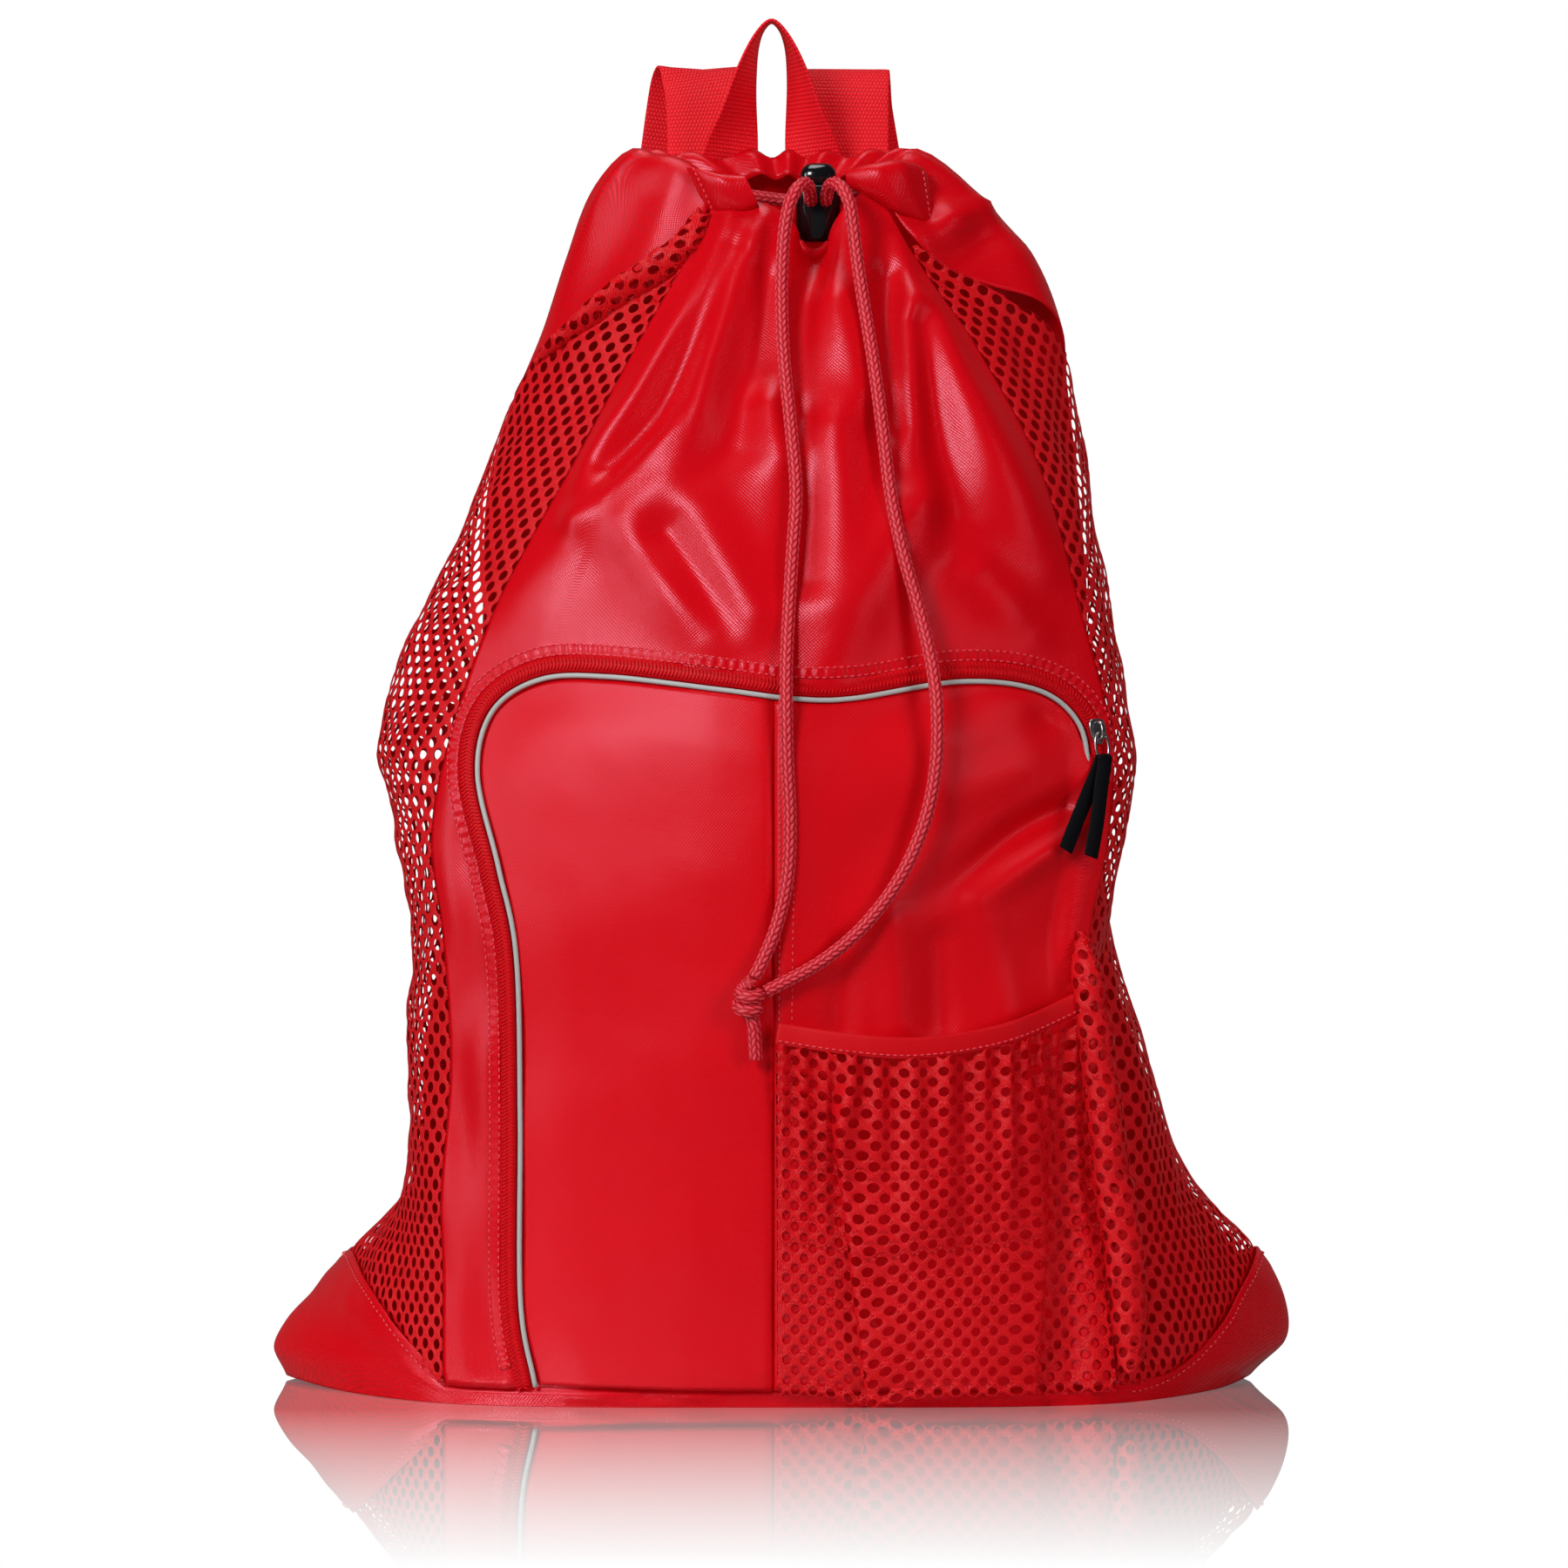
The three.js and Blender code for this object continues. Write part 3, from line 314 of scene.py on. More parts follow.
def join_parts(parts):
    """Several sets of points and faces as one set."""
    offsets = np.cumsum([0] + [len(points) for points, _ in parts[:-1]])
    points = np.vstack([points for points, _ in parts])
    return points, np.vstack([faces + offset for (_, faces), offset in zip(parts, offsets)])


print("a skin over 2 rings of 4 points has", len(closed_skin(np.zeros((2, 4, 3)))[1]), "triangles")

# %% The braid
CORD_DIAMETER = 5.4 * MM
BRAID_COLUMNS = 8  # columns of grains round the cord
BRAID_PITCH = 3.3 * MM  # from one grain to the next in a column
BRAID_SIDES = 40
BRAID_STEP = 0.7 * MM
GRAIN_SLANT = 0.85  # in grains, from one edge of a column to the other
CORE, SWELL = 0.82, 0.25  # shares of the radius: under the grains, and their height


def braid_height(turn, run):
    """Height of the grains from 0 to 1: a round across each column times one along each slanted grain."""
    column = np.floor(turn * BRAID_COLUMNS)
    across = turn * BRAID_COLUMNS - column - 0.5
    slant = np.where(column % 2 == 0, GRAIN_SLANT, -GRAIN_SLANT)
    grain = run / BRAID_PITCH + slant * across + 0.5 * (column % 2)
    along = grain - np.floor(grain) - 0.5
    return np.sqrt(np.clip(1 - 4 * across**2, 0, 1) * np.clip(1 - 4 * along**2, 0, 1))


def braided(path, run, side, radius):
    """A braided tube: the radius is its core share plus its swell share times the grains' height."""
    turn = (np.arange(BRAID_SIDES) + 0.5) / BRAID_SIDES
    height = braid_height(turn[None], run[:, None])
    swell = radius[:, None] * (CORE + SWELL * height)
    rings = carry(path, side, swell * np.cos(2 * np.pi * turn), swell * np.sin(2 * np.pi * turn))
    return *closed_skin(rings), with_ends(height)


print("grains round the cord:", BRAID_COLUMNS)

# %% Cord material
# Painted light: the grains' crests get a pale pink painted highlight, and the gaps between them a darker
# painted shade.
CORD_GAP_SHADE = (0.44, 0.002, 0.008)
CORD_CREST_HIGHLIGHT = (0.8, 0.065, 0.095)
CREST_GAIN, CREST_START = 3.0, -1.55  # how sharply the grains' crests turn light

cord_material, tree, shader = new_material("braided cord")
grains = add_node(tree, "ShaderNodeAttribute", attribute_name="grain").outputs["Fac"]
crest = clamped(tree, maths(tree, "MULTIPLY_ADD", grains, CREST_GAIN, CREST_START))
cord_painted_colour = blend_colour(tree, crest, CORD_GAP_SHADE, CORD_CREST_HIGHLIGHT)
fill_inputs(tree, shader, {"Base Color": cord_painted_colour, "Roughness": 0.5, "Specular IOR Level": 0.3})
print("material:", cord_material.name)

# %% The two strands
KNOT_CENTRE = MM * np.array([-14.4, -122.0, 171.5])
MOUTH_RUN = 45 * MM  # a strand runs level for this way, and then turns down
RIGHT, UP = np.array([1.0, 0.0, 0.0]), np.array([0.0, 0.0, 1.0])


def strand(name, node, stations):
    """One strand through stations; its cross direction turns from upright in the mouth to sideways below."""
    path, run = even_path(stations, BRAID_STEP)
    turned = ease(run, MOUTH_RUN, 2 * MOUTH_RUN)[:, None]
    side = UP * (1 - turned) + RIGHT * turned
    points, faces, height = braided(path, run, side, np.full(len(path), CORD_DIAMETER / 2))
    piece = make_piece(name, points, faces, values={"grain": height})
    dress(piece, cord_material, "cord", [node])
    return piece, path - MIDDLE, run[-1]


strand_left, left_path, left_length = strand("strand_left", "drawcord_left", STRAND_LEFT)
strand_right, right_path, right_length = strand("strand_right", "drawcord_right", STRAND_RIGHT)
print("lengths:", round(left_length, 3), round(right_length, 3), "m")

# %% [markdown]
# The knot ties both strands into one lump with a short tail. On the real bag it is an overhand knot pulled
# tight, so what shows is cord wound round cord. A line that winds a little more than twice round the middle
# and then runs out as the tail gives that look.

# %% The knot and its tail
KNOT_TURNS = 2.2
KNOT_HALF = np.array([4.4, 3.6, 6.0]) * MM  # half the wound line's width, depth and height
KNOT_WAVER = 1.6 * MM  # how far the turns rise and fall

share = np.linspace(0, 1, 60)
turning = 2 * np.pi * KNOT_TURNS * share + 0.8
spread = np.sin(np.pi * share) ** 0.35
winding = KNOT_CENTRE + np.stack([
    KNOT_HALF[0] * spread * np.cos(turning),
    KNOT_HALF[1] * spread * np.sin(turning),
    KNOT_HALF[2] * (1 - 2 * share) + KNOT_WAVER * np.sin(turning + 0.6),
], axis=1)
knot_path, knot_run = even_path(np.vstack([winding[::3], TAIL]), BRAID_STEP)
knot_side = np.cross(np.gradient(knot_path, axis=0), [0.2, 0.3, 1.0])
points, faces, height = braided(knot_path, knot_run, knot_side, np.full(len(knot_path), CORD_DIAMETER / 2))
knot = make_piece("knot", points, faces, values={"grain": height})
dress(knot, cord_material, "cord", ["drawcord_knot", "drawcord_tail"])

# %% [markdown]
# ## The shape of the sack
# All the panels of the sack are parts of one rounded shape. A table gives its outline at sixteen heights,
# as the places of the seams, sides and middles, and smooth curves join them both round the sack and up it.
# A point of the sack is then a function of two numbers: the corner, from 0 at the front middle round to 8,
# and the section h, from 0 at the floor to 540 at the edge of the mouth. The front edge dips in a notch
# under the cord lock.

# %% The sections
MOUTH = 540 * MM
SIDE_TIP = 490 * MM  # section where the net sides run out under the mouth
RIM_LOW = 7 * MM  # height of the bottom panel's edge at the front and back
RIM_EAR = 56 * MM  # height of the bottom panel's corner ears
RIM_GAP = 0.9 * MM
TUCK = 7 * MM  # how far nets and back panel reach down behind the ears
EAR_LIFT = np.array([1.6, 4]) * MM  # how far the undersides of the left and right ears stand off the floor
EAR_TIPS = np.array([182, 217]) * MM  # where in x that lift starts and is full
LIFT_FADE = 24 * MM  # section where it has faded
NOTCH = {"x": 14 * MM, "width": 9 * MM, "depth": 13 * MM, "from": 470 * MM, "to": 523 * MM}

# h, z, drop; x of front left, front right, side left, side right, back left, back right;
# y of front, front seam, side, back seam, back; and nose, how round the sides are
SECTION_TABLE = np.array([
    [0, 0, 0, -140, 137, -213, 200, -150, 150, -92, -78, 14, 74, 84, 450],
    [14, 14, 0, -142, 138, -218, 214, -150, 150, -98, -80, 14, 74, 86, 450],
    [32, 32, 0, -142, 137, -207, 215, -148, 148, -102, -80, 14, 72, 86, 500],
    [58, 58, 0, -142, 133, -184, 201, -142, 144, -106, -78, 13, 70, 86, 600],
    [85, 85, 0, -143, 131, -160, 175, -136, 140, -108, -76, 12, 68, 86, 800],
    [140, 140, 0, -139, 129, -160, 157, -130, 132, -112, -74, 12, 66, 86, 1000],
    [195, 195, 0, -142, 127, -158, 140, -126, 126, -113, -72, 10, 66, 84, 1000],
    [235, 235, 0, -147, 135, -163, 141, -126, 122, -112, -66, 10, 64, 80, 1000],
    [275, 275, 0, -140, 137, -173, 148, -124, 120, -108, -62, 10, 62, 78, 1000],
    [330, 330, 0, -121, 124, -154, 141, -116, 116, -94, -56, 8, 58, 74, 1000],
    [390, 390, 0, -89, 107, -127, 130, -100, 106, -74, -46, 8, 52, 66, 1000],
    [440, 440, 3, -63, 82, -106, 119, -82, 92, -54, -34, 8, 46, 57, 1000],
    [480, 480, 12, -43, 58, -91, 103, -70, 78, -38, -24, 8, 40, 48, 1000],
    [508, 508, 20, -31, 44, -78, 80, -58, 60, -27, -17, 8, 35, 40, 1000],
    [523, 523, 26, -27, 39, -63, 56, -46, 44, -20, -13, 8, 29, 33, 1000],
    [540, 513, 22, -22, 34, -46, 44, -28, 28, -13, -8, 8, 22, 25, 1000],
]) * MM
# h and how many corners from the front the net sides end against the back panel, left and right
BACK_SEAM_TABLE = np.array([
    [0, 2.45, 2.4], [60, 2.45, 2.45], [140, 2.58, 2.7], [220, 2.75, 2.78], [300, 2.85, 2.8], [380, 2.4, 2.5],
    [424, 2, 2.2], [450, 1.5, 1.75], [472, 1.22, 1.3], [490, 1.06, 1.08], [540, 1.03, 1.03],
])

print("sections:", len(SECTION_TABLE))


# %% A point of the sack
def body_point(corner, h):
    """A point of the sack: cubic pieces round the sack join the outline's eight corners at section h."""
    corner, h = np.broadcast_arrays(np.asarray(corner, float), np.asarray(h, float))
    z, drop, fl, fr, sl, sr, bl, br, fy, fsy, sy, bsy, by, nose = np.moveaxis(
        through(SECTION_TABLE[:, 0], SECTION_TABLE[:, 1:], h), -1, 0)
    ring = np.stack([
        np.stack([(fl + fr) / 2, fl, sl, bl, (bl + br) / 2, br, sr, fr], axis=-1),
        np.stack([fy, fsy, sy, bsy, by, bsy, sy, fsy], axis=-1),
    ], axis=-1)
    slope = (np.roll(ring, -1, axis=-2) - np.roll(ring, 1, axis=-2)) / 2
    slope[..., 2::4, :] *= nose[..., None, None] / (1000 * MM)
    turn = np.mod(corner, 8)
    first = np.floor(turn).astype(int) % 8
    f = (turn - np.floor(turn))[..., None]

    def pick(table, k):
        return np.take_along_axis(table, (k % 8)[..., None, None], axis=-2)[..., 0, :]

    place = pick(ring, first) * (2 * f**3 - 3 * f**2 + 1) + pick(slope, first) * (f**3 - 2 * f**2 + f)
    place += pick(ring, first + 1) * (3 * f**2 - 2 * f**3) + pick(slope, first + 1) * (f**3 - f**2)
    from_front = np.minimum(turn, 8 - turn)
    front = np.where(from_front < 2, np.cos(np.pi / 4 * from_front) ** 2, 0)
    dip = np.exp(-(((place[..., 0] - NOTCH["x"]) / NOTCH["width"]) ** 2))
    z = z - drop * front - NOTCH["depth"] * front * ease(h, NOTCH["from"], NOTCH["to"]) * dip
    ear_lift = np.where(place[..., 0] < 0, *EAR_LIFT) * ease(np.abs(place[..., 0]), *EAR_TIPS)
    z = z + ear_lift * (1 - ease(h, 0, LIFT_FADE))
    return np.concatenate([place, z[..., None]], axis=-1)


def normal_of(face, corner, h):
    """The outward normal of a face that is a function of corner and section, from its two slopes."""
    across = face(corner + 0.02, h) - face(corner - 0.02, h)
    up = face(corner, h + MM) - face(corner, h - MM)
    return unit(np.cross(up, across))


print("front at the base:", np.round(body_point(0.0, 0.0), 4).tolist())


# %% The back seams and the bottom's edge
def back_seam(side, h):
    """How many corners from the front the net side ends, on the left (0) or right (1)."""
    return through(BACK_SEAM_TABLE[:, 0] * MM, BACK_SEAM_TABLE[:, 1:], h)[..., side]


# where an ear's seam starts and ends in x, and how bowed it is:
# front left, front right, back left, back right
EAR_SEAMS = np.array([[143, 184, 1.0], [138, 202, 2.6], [152, 184, 0.5], [152, 202, 0.5]])


def rim_height(corner):
    """The bottom's edge: low, and raised to the ears as a power of x from the seam's start, by halving."""
    turn = np.mod(corner, 8)
    side = np.where(turn < 4, 0, 1) + np.where(np.abs(turn - 4) < 2, 2, 0)
    start, end, bow = np.moveaxis(EAR_SEAMS[side], -1, 0)
    low, high = np.full(turn.shape, RIM_LOW), np.full(turn.shape, RIM_EAR)
    for _ in range(20):
        middle = (low + high) / 2
        out = np.abs(body_point(turn, middle)[..., 0]) / MM
        share = np.clip((out - start) / (end - start), 0, 1) ** bow
        above = middle > RIM_LOW + (RIM_EAR - RIM_LOW) * share
        low, high = np.where(above, low, middle), np.where(above, middle, high)
    between = (np.abs(turn - 2) < 1) | (np.abs(turn - 6) < 1)
    return np.where(between, (low + high) / 2, RIM_LOW)


print("ears rise to", np.round(rim_height(np.array([2.0, 6.0])), 4).tolist(), "m")


# %% [markdown]
# ## Folds
# Folds make cloth look like cloth. A fold here is a chain of places seen from the front, each with a height
# and a width. Near the chain the cloth is lifted by its height times a bell curve of the distance. Negative
# heights are valleys. Softer unevenness is the mean of a few long waves in different directions.


# %% Folds and unevenness
def fold_lift(folds, x, z):
    """The sum over folds of the height at a chain's nearest point times a bell of distance over width."""
    total = np.zeros_like(x)
    for fold in folds:
        rows = np.array(fold) * MM
        places = np.arange(len(rows), dtype=float)
        rows = through(places, rows, np.linspace(0, len(rows) - 1, 5 * len(rows)))
        start, run = rows[:-1], np.diff(rows, axis=0)
        dx, dz = x[..., None] - start[:, 0], z[..., None] - start[:, 1]
        f = np.clip((dx * run[:, 0] + dz * run[:, 1]) / (run[:, 0] ** 2 + run[:, 1] ** 2), 0, 1)
        away = np.hypot(dx - f * run[:, 0], dz - f * run[:, 1])
        nearest = away.argmin(axis=-1)[..., None]
        height, width, gap = (
            np.take_along_axis(values, nearest, axis=-1)[..., 0]
            for values in (start[:, 2] + f * run[:, 2], start[:, 3] + f * run[:, 3], away)
        )
        total += height * np.exp(-((gap / width) ** 2))
    return total


def unevenness(a, b, size, seed):
    """Soft hills of about -1 to 1: six waves of lengths near the given size, in directions from a seed."""
    draw = np.random.default_rng(seed)
    angle, phase = draw.uniform(0, np.pi, 6), draw.uniform(0, 2 * np.pi, 6)
    length = size * draw.uniform(0.7, 1.5, 6)
    waves = np.sin(2 * np.pi * (a[..., None] * np.cos(angle) + b[..., None] * np.sin(angle)) / length + phase)
    return 1.6 * waves.mean(axis=-1)


hills = unevenness(np.linspace(0, 1, 200), np.zeros(200), 50 * MM, 3)
print("soft hills lie between", round(hills.min(), 2), "and", round(hills.max(), 2))

# %% Folds of the front
# Chains of x, z, height and width in millimetres, on the front above the pocket
FRONT_FOLDS = [
    [[-23, 493, 3, 6], [-30, 471, 5, 7], [-46, 444, 6.5, 8], [-61, 418, 7, 8], [-74, 400, 6, 8],
     [-84, 382, 5, 8], [-88, 371, 3, 8]],
    [[-86, 366, 3, 7], [-75, 375, 3.5, 6], [-61, 388, 4, 6], [-47, 403, 3, 5], [-43, 412, 1, 5]],
    [[-74, 390, -4, 6], [-56, 412, -5.5, 8], [-38, 442, -5, 8], [-21, 480, -3, 6]],
    [[-8, 493, 3, 6], [-18, 475, 5, 7], [-25, 453, 7, 9], [-31, 431, 7.5, 9], [-37, 409, 7.5, 10],
     [-46, 393, 7, 11], [-54, 381, 6.5, 11], [-68, 370, 6, 11], [-82, 362, 5, 12], [-101, 345, 3, 14],
     [-112, 331, 1, 15]],
    [[-7, 470, -3, 7], [-14, 430, -5, 10], [-20, 400, -3, 11]],
    [[-37, 372, 5, 13], [-27, 352, 5, 13], [-15, 330, 4, 12]],
    [[-60, 357, 5, 12], [-46, 338, 5, 12], [-32, 320, 3, 12]],
    [[-48, 362, -3, 8], [-34, 342, -3.5, 8], [-22, 326, -2, 8]],
    [[12, 482, -6, 7], [10, 462, -6, 8], [5, 436, -4, 10], [3, 410, -2, 10]],
    [[-6, 416, 3.5, 9], [1, 396, 3, 10]],
    [[9, 410, -4, 9], [10, 375, -4, 10], [8, 345, -3, 10]],
    [[22, 458, 4.5, 11], [36, 424, 4.5, 12]],
    [[20, 405, 5.5, 14], [22, 370, 5, 14], [18, 336, 4, 14]],
    [[50, 371, 6, 12], [36, 338, 6, 14], [20, 308, 3, 13]],
    [[44, 470, -4, 6], [43, 440, -5, 8], [43, 408, -4, 8]],
    [[51, 484, 3, 6], [51, 449, 5.5, 7], [54, 411, 5.5, 7], [55, 394, 4.5, 8], [59, 376, 4, 8],
     [58, 357, 2, 8]],
    [[57, 448, -4, 6], [66, 403, -5, 9], [72, 372, -3, 10]],
    [[60, 458, 5, 9], [69, 430, 7.5, 11], [83, 404, 8, 13], [95, 380, 7, 13], [108, 350, 3, 13]],
    [[81, 344, 4.5, 11], [92, 332, 5, 11], [102, 322, 3, 11]],
]
print("front folds:", len(FRONT_FOLDS))

# %% [markdown]
# ## Nylon
# The solid panels are coated nylon: fine threads that cross on the slant, with a soft shine. Two groups
# serve these panels. One draws the crossing threads from a place on the flat cloth, as two waves of which
# one is stronger, and the other gives the small crumples that cloth keeps after use.

# %% Cloth groups
PLACE, NUMBER = "NodeSocketVector", "NodeSocketFloat"

twill, ends_in, ends_out = new_group("twill", [("Place", PLACE), ("Pitch", NUMBER)], [("Height", NUMBER)])
apart = add_node(twill, "ShaderNodeSeparateXYZ", {0: ends_in.outputs["Place"]})
turns = maths(twill, "DIVIDE", 2 * np.pi, ends_in.outputs["Pitch"])
height = 0.5
for operation, weight in (("SUBTRACT", 0.3), ("ADD", 0.2)):
    slanted = maths(twill, operation, apart.outputs["X"], apart.outputs["Y"])
    wave = maths(twill, "SINE", maths(twill, "MULTIPLY", slanted, turns))
    height = maths(twill, "MULTIPLY_ADD", wave, weight, height)
twill.links.new(height, ends_out.inputs["Height"])

crumple, ends_in, ends_out = new_group("crumple", [("Place", PLACE), ("Scale", NUMBER)], [("Height", NUMBER)])
noise = add_node(crumple, "ShaderNodeTexNoise", {
    "Vector": ends_in.outputs["Place"], "Scale": ends_in.outputs["Scale"], "Detail": 3.0, "Roughness": 0.5})
crumple.links.new(noise.outputs["Fac"], ends_out.inputs["Height"])
print("groups:", twill.name, crumple.name)


# %% Nylon materials
DULL_GAPS = 0.18  # how much rougher the cloth is between its threads
THREAD_PITCH = 1.5 * MM
CRUMPLE_SCALE = 90.0  # crumples to a metre
SHINE_TINT = (1.0, 0.58, 0.78, 1.0)


# Painted light: a faint red emission makes the cloth glow, though it is no lamp, to lift its shadows.
def add_painted_glow(shader, strength=0.04):
    """A faint red painted glow: an emission that lifts the shadows, so that the cloth is never quite black.
    """
    shader.inputs["Emission Color"].default_value = (0.8, 0.0005, 0.003, 1.0)
    shader.inputs["Emission Strength"].default_value = strength


def nylon(name, colour, shade, roughness, shine):
    """Coated nylon: threads and crumples as bumps; between the threads it is darker and less shiny."""
    material, tree, shader = new_material(name)
    flat = add_node(tree, "ShaderNodeUVMap", uv_map="flat").outputs["UV"]
    spot = add_node(tree, "ShaderNodeTexCoord").outputs["Object"]
    threads = add_node(
        tree, "ShaderNodeGroup", {"Place": flat, "Pitch": THREAD_PITCH}, node_tree=twill).outputs["Height"]
    creases = add_node(
        tree, "ShaderNodeGroup", {"Place": spot, "Scale": CRUMPLE_SCALE}, node_tree=crumple).outputs["Height"]
    # painted glow: a faint red emission lifts the nylon's shadows
    add_painted_glow(shader)
    fill_inputs(tree, shader, {
        "Base Color": blend_colour(tree, threads, shade, colour),
        "Roughness": maths(tree, "MULTIPLY_ADD", threads, -DULL_GAPS, roughness + DULL_GAPS),
        "Normal": bump(tree, threads, 0.2 * MM, 0.3, bump(tree, creases, 1.5 * MM, 0.11)),
        "Specular IOR Level": shine,
        "Specular Tint": SHINE_TINT,
    })
    return material


nylon_body = nylon("nylon body", (0.72, 0.0012, 0.008), (0.44, 0.0005, 0.003), 0.19, 0.36)
nylon_pocket = nylon("nylon pocket", (0.76, 0.0018, 0.008), (0.5, 0.0006, 0.003), 0.26, 0.35)
print("materials:", nylon_body.name, nylon_pocket.name)


# %% [markdown]
# ## Panels of cloth
# A panel is a grid of points on its face. Its flat place, used for the weave, is the way covered across and
# up the cloth, so threads keep their size everywhere. A Solidify modifier then gives the cloth its
# thickness on the inside.


# %% Cloth from a grid
CLOTH = 1.2 * MM
INSIDE = np.array([0.0, 0.0, 0.2])  # a point in the bag, from which the cloth's outer faces look away


def flat_places(points):
    """Where each point of a grid lies on the flat cloth: the mean way covered across it and up it."""
    across = np.linalg.norm(np.diff(points, axis=1), axis=-1)
    up = np.linalg.norm(np.diff(points, axis=0), axis=-1)
    u = np.pad(np.cumsum(across, axis=1), ((0, 0), (1, 0)))
    u -= u.mean(axis=1, keepdims=True)
    v = np.pad(np.cumsum(up, axis=0), ((1, 0), (0, 0)))
    return np.stack([u, v], axis=-1).reshape(-1, 2)


def faced(points, faces, inside):
    """The faces, turned so that most look away from a point inside the bag."""
    a, b, c = (points[faces[:, k]] for k in range(3))
    away = np.sum(np.cross(b - a, c - a) * (a - inside))
    return faces if away > 0 else faces[:, ::-1]


def cloth(name, points, material, slot, nodes=(), thickness=CLOTH):
    """A cloth panel from a grid of points, with its flat places and its thickness on the inside."""
    rows, columns = points.shape[:2]
    flat = flat_places(points)
    points = points.reshape(-1, 3)
    faces = faced(points, grid_faces(rows, columns), INSIDE)
    return dress(make_piece(name, points, faces, flat), material, slot, nodes, thickness=thickness)


def cloth_area(points):
    """The area of a grid of points, from the cross product of its steps across and up."""
    across, up = np.diff(points, axis=1)[:-1], np.diff(points, axis=0)[:, :-1]
    return np.linalg.norm(np.cross(across, up), axis=-1).sum()


print("cloth thickness:", CLOTH, "m")

# %% [markdown]
# ## The pocket's outline
# The zip pocket on the front is edged by a pale piping, with the zip just outside it. Several pieces follow
# that line: the piping, the zip, its stitches and the pocket's own faces. The line is a table of places
# seen from the front, and a place beside it is found with the line's own normal. Where the line lies on the
# sack is found by halving: the corner is narrowed down until the sack's x there is the wanted one.

# %% The piping's line
PIPING = np.array([
    [-103, 9], [-109, 45], [-109, 120], [-110.5, 187], [-118, 224], [-127, 262], [-121, 288], [-101, 301.5],
    [-72, 303], [-25, 298], [4, 294.5], [28, 294.5], [72, 301], [104, 297.5], [121, 285], [126, 266],
    [125.5, 235], [118, 195], [118.5, 150], [121.5, 90], [126.5, 30], [127.5, 9],
]) * MM
PIPING_ROWS = np.arange(len(PIPING), dtype=float)
CORNER_LEFT, CORNER_RIGHT, AT_SEAM = 6.0, 14.0, 9.72  # rows at the pocket's top corners and at its seam
POCKET_SEAM_X = -4 * MM
POCKET_INSET = 1.4 * MM
OVERHANG = 8 * MM  # how far the baggy right face hangs over the piping, below its corner
print("piping stations:", len(PIPING))


# %% Places beside the piping
def beside_piping(row, offset):
    """A place at a row of the piping's line, moved by an offset along its normal, outwards if positive."""
    row = np.asarray(row, float)
    place = through(PIPING_ROWS, PIPING, row)
    ahead = unit(through(PIPING_ROWS, PIPING, row + 0.01) - through(PIPING_ROWS, PIPING, row - 0.01))
    return place + np.asarray(offset)[..., None] * np.stack([-ahead[..., 1], ahead[..., 0]], axis=-1)


def seen_on(face, x, z, reach, steps):
    """Points and normals of a face seen at x and z: halving narrows the corner down to the wanted x."""
    low, high = np.full_like(x, -reach), np.full_like(x, reach)
    for _ in range(steps):
        middle = (low + high) / 2
        right = face(middle, z)[..., 0] > x
        low, high = np.where(right, middle, low), np.where(right, high, middle)
    corner = (low + high) / 2
    return face(corner, z), normal_of(face, corner, z)


def front_at(x, z):
    """Points and normals of the sack's front seen at x and z."""
    return seen_on(body_point, x, z, 1.6, 24)


print("piping starts at", np.round(beside_piping(0.0, 0.0), 4).tolist())

# %% Inside and outside the pocket
UNDER_FLOOR = -60 * MM  # the ring round the pocket is closed below the floor
outline = beside_piping(np.linspace(0, len(PIPING) - 1, 200), np.zeros(200))
pocket_ring = np.vstack([[outline[0, 0], UNDER_FLOOR], outline, [outline[-1, 0], UNDER_FLOOR]])


def inside_pocket(x, z):
    """Distance from the piping's line, positive inside: crossings give its sign and near points its size."""
    a, b = pocket_ring, np.roll(pocket_ring, -1, axis=0)
    crosses = (a[:, 1] > z[..., None]) != (b[:, 1] > z[..., None])
    rise = np.where(np.abs(b[:, 1] - a[:, 1]) < 1e-9, 1e-9, b[:, 1] - a[:, 1])
    meets = a[:, 0] + (z[..., None] - a[:, 1]) / rise * (b[:, 0] - a[:, 0])
    inside = np.sum(crosses & (x[..., None] < meets), axis=-1) % 2 == 1
    nearest = np.hypot(x[..., None] - a[:, 0], z[..., None] - a[:, 1]).min(axis=-1)
    return np.where(inside, nearest, -nearest)


print("piping:", round(run_along(np.c_[outline, np.zeros(200)])[-1], 3), "m long")

# %% [markdown]
# ## The front panel
# The front panel runs from the floor to the mouth. Behind the pocket it sinks back to leave room, and under
# the zip it sinks a little for the tapes. Beside the zip lies a narrow facing, drawn up in short puckers
# between two rows of stitches; above the pocket the cloth falls from the gathered mouth in long folds.

# %% Front panel
POCKET_ROOM = 10 * MM  # how far the panel sinks back behind the pocket
ZIP_BED = 3.0 * MM  # how far it sinks under the zip


def front_face(corner, h):
    """The front panel: the sack's face lifted by folds and sunk behind the pocket and the zip."""
    point = body_point(corner, h)
    x, z = point[..., 0], point[..., 2]
    inside = inside_pocket(x, z)
    sunk = POCKET_ROOM * ease(inside, 0, 35 * MM) * ease(z, 10 * MM, 70 * MM)
    sunk += ZIP_BED * ease(inside, -7 * MM, 2 * MM)
    open_cloth = 1 - ease(inside, -14 * MM, -4 * MM)
    wrinkles = 0.8 * MM * unevenness(x, z, 55 * MM, 3)
    wrinkles += 1.9 * MM * unevenness(x, 0.6 * z, 24 * MM, 4) * (1 - ease(z, 250 * MM, 290 * MM))
    lift = fold_lift(FRONT_FOLDS, x, z) + wrinkles * open_cloth - sunk
    edge = 1 - np.abs(corner) ** 12
    return point + normal_of(body_point, corner, h) * (lift * edge)[..., None]


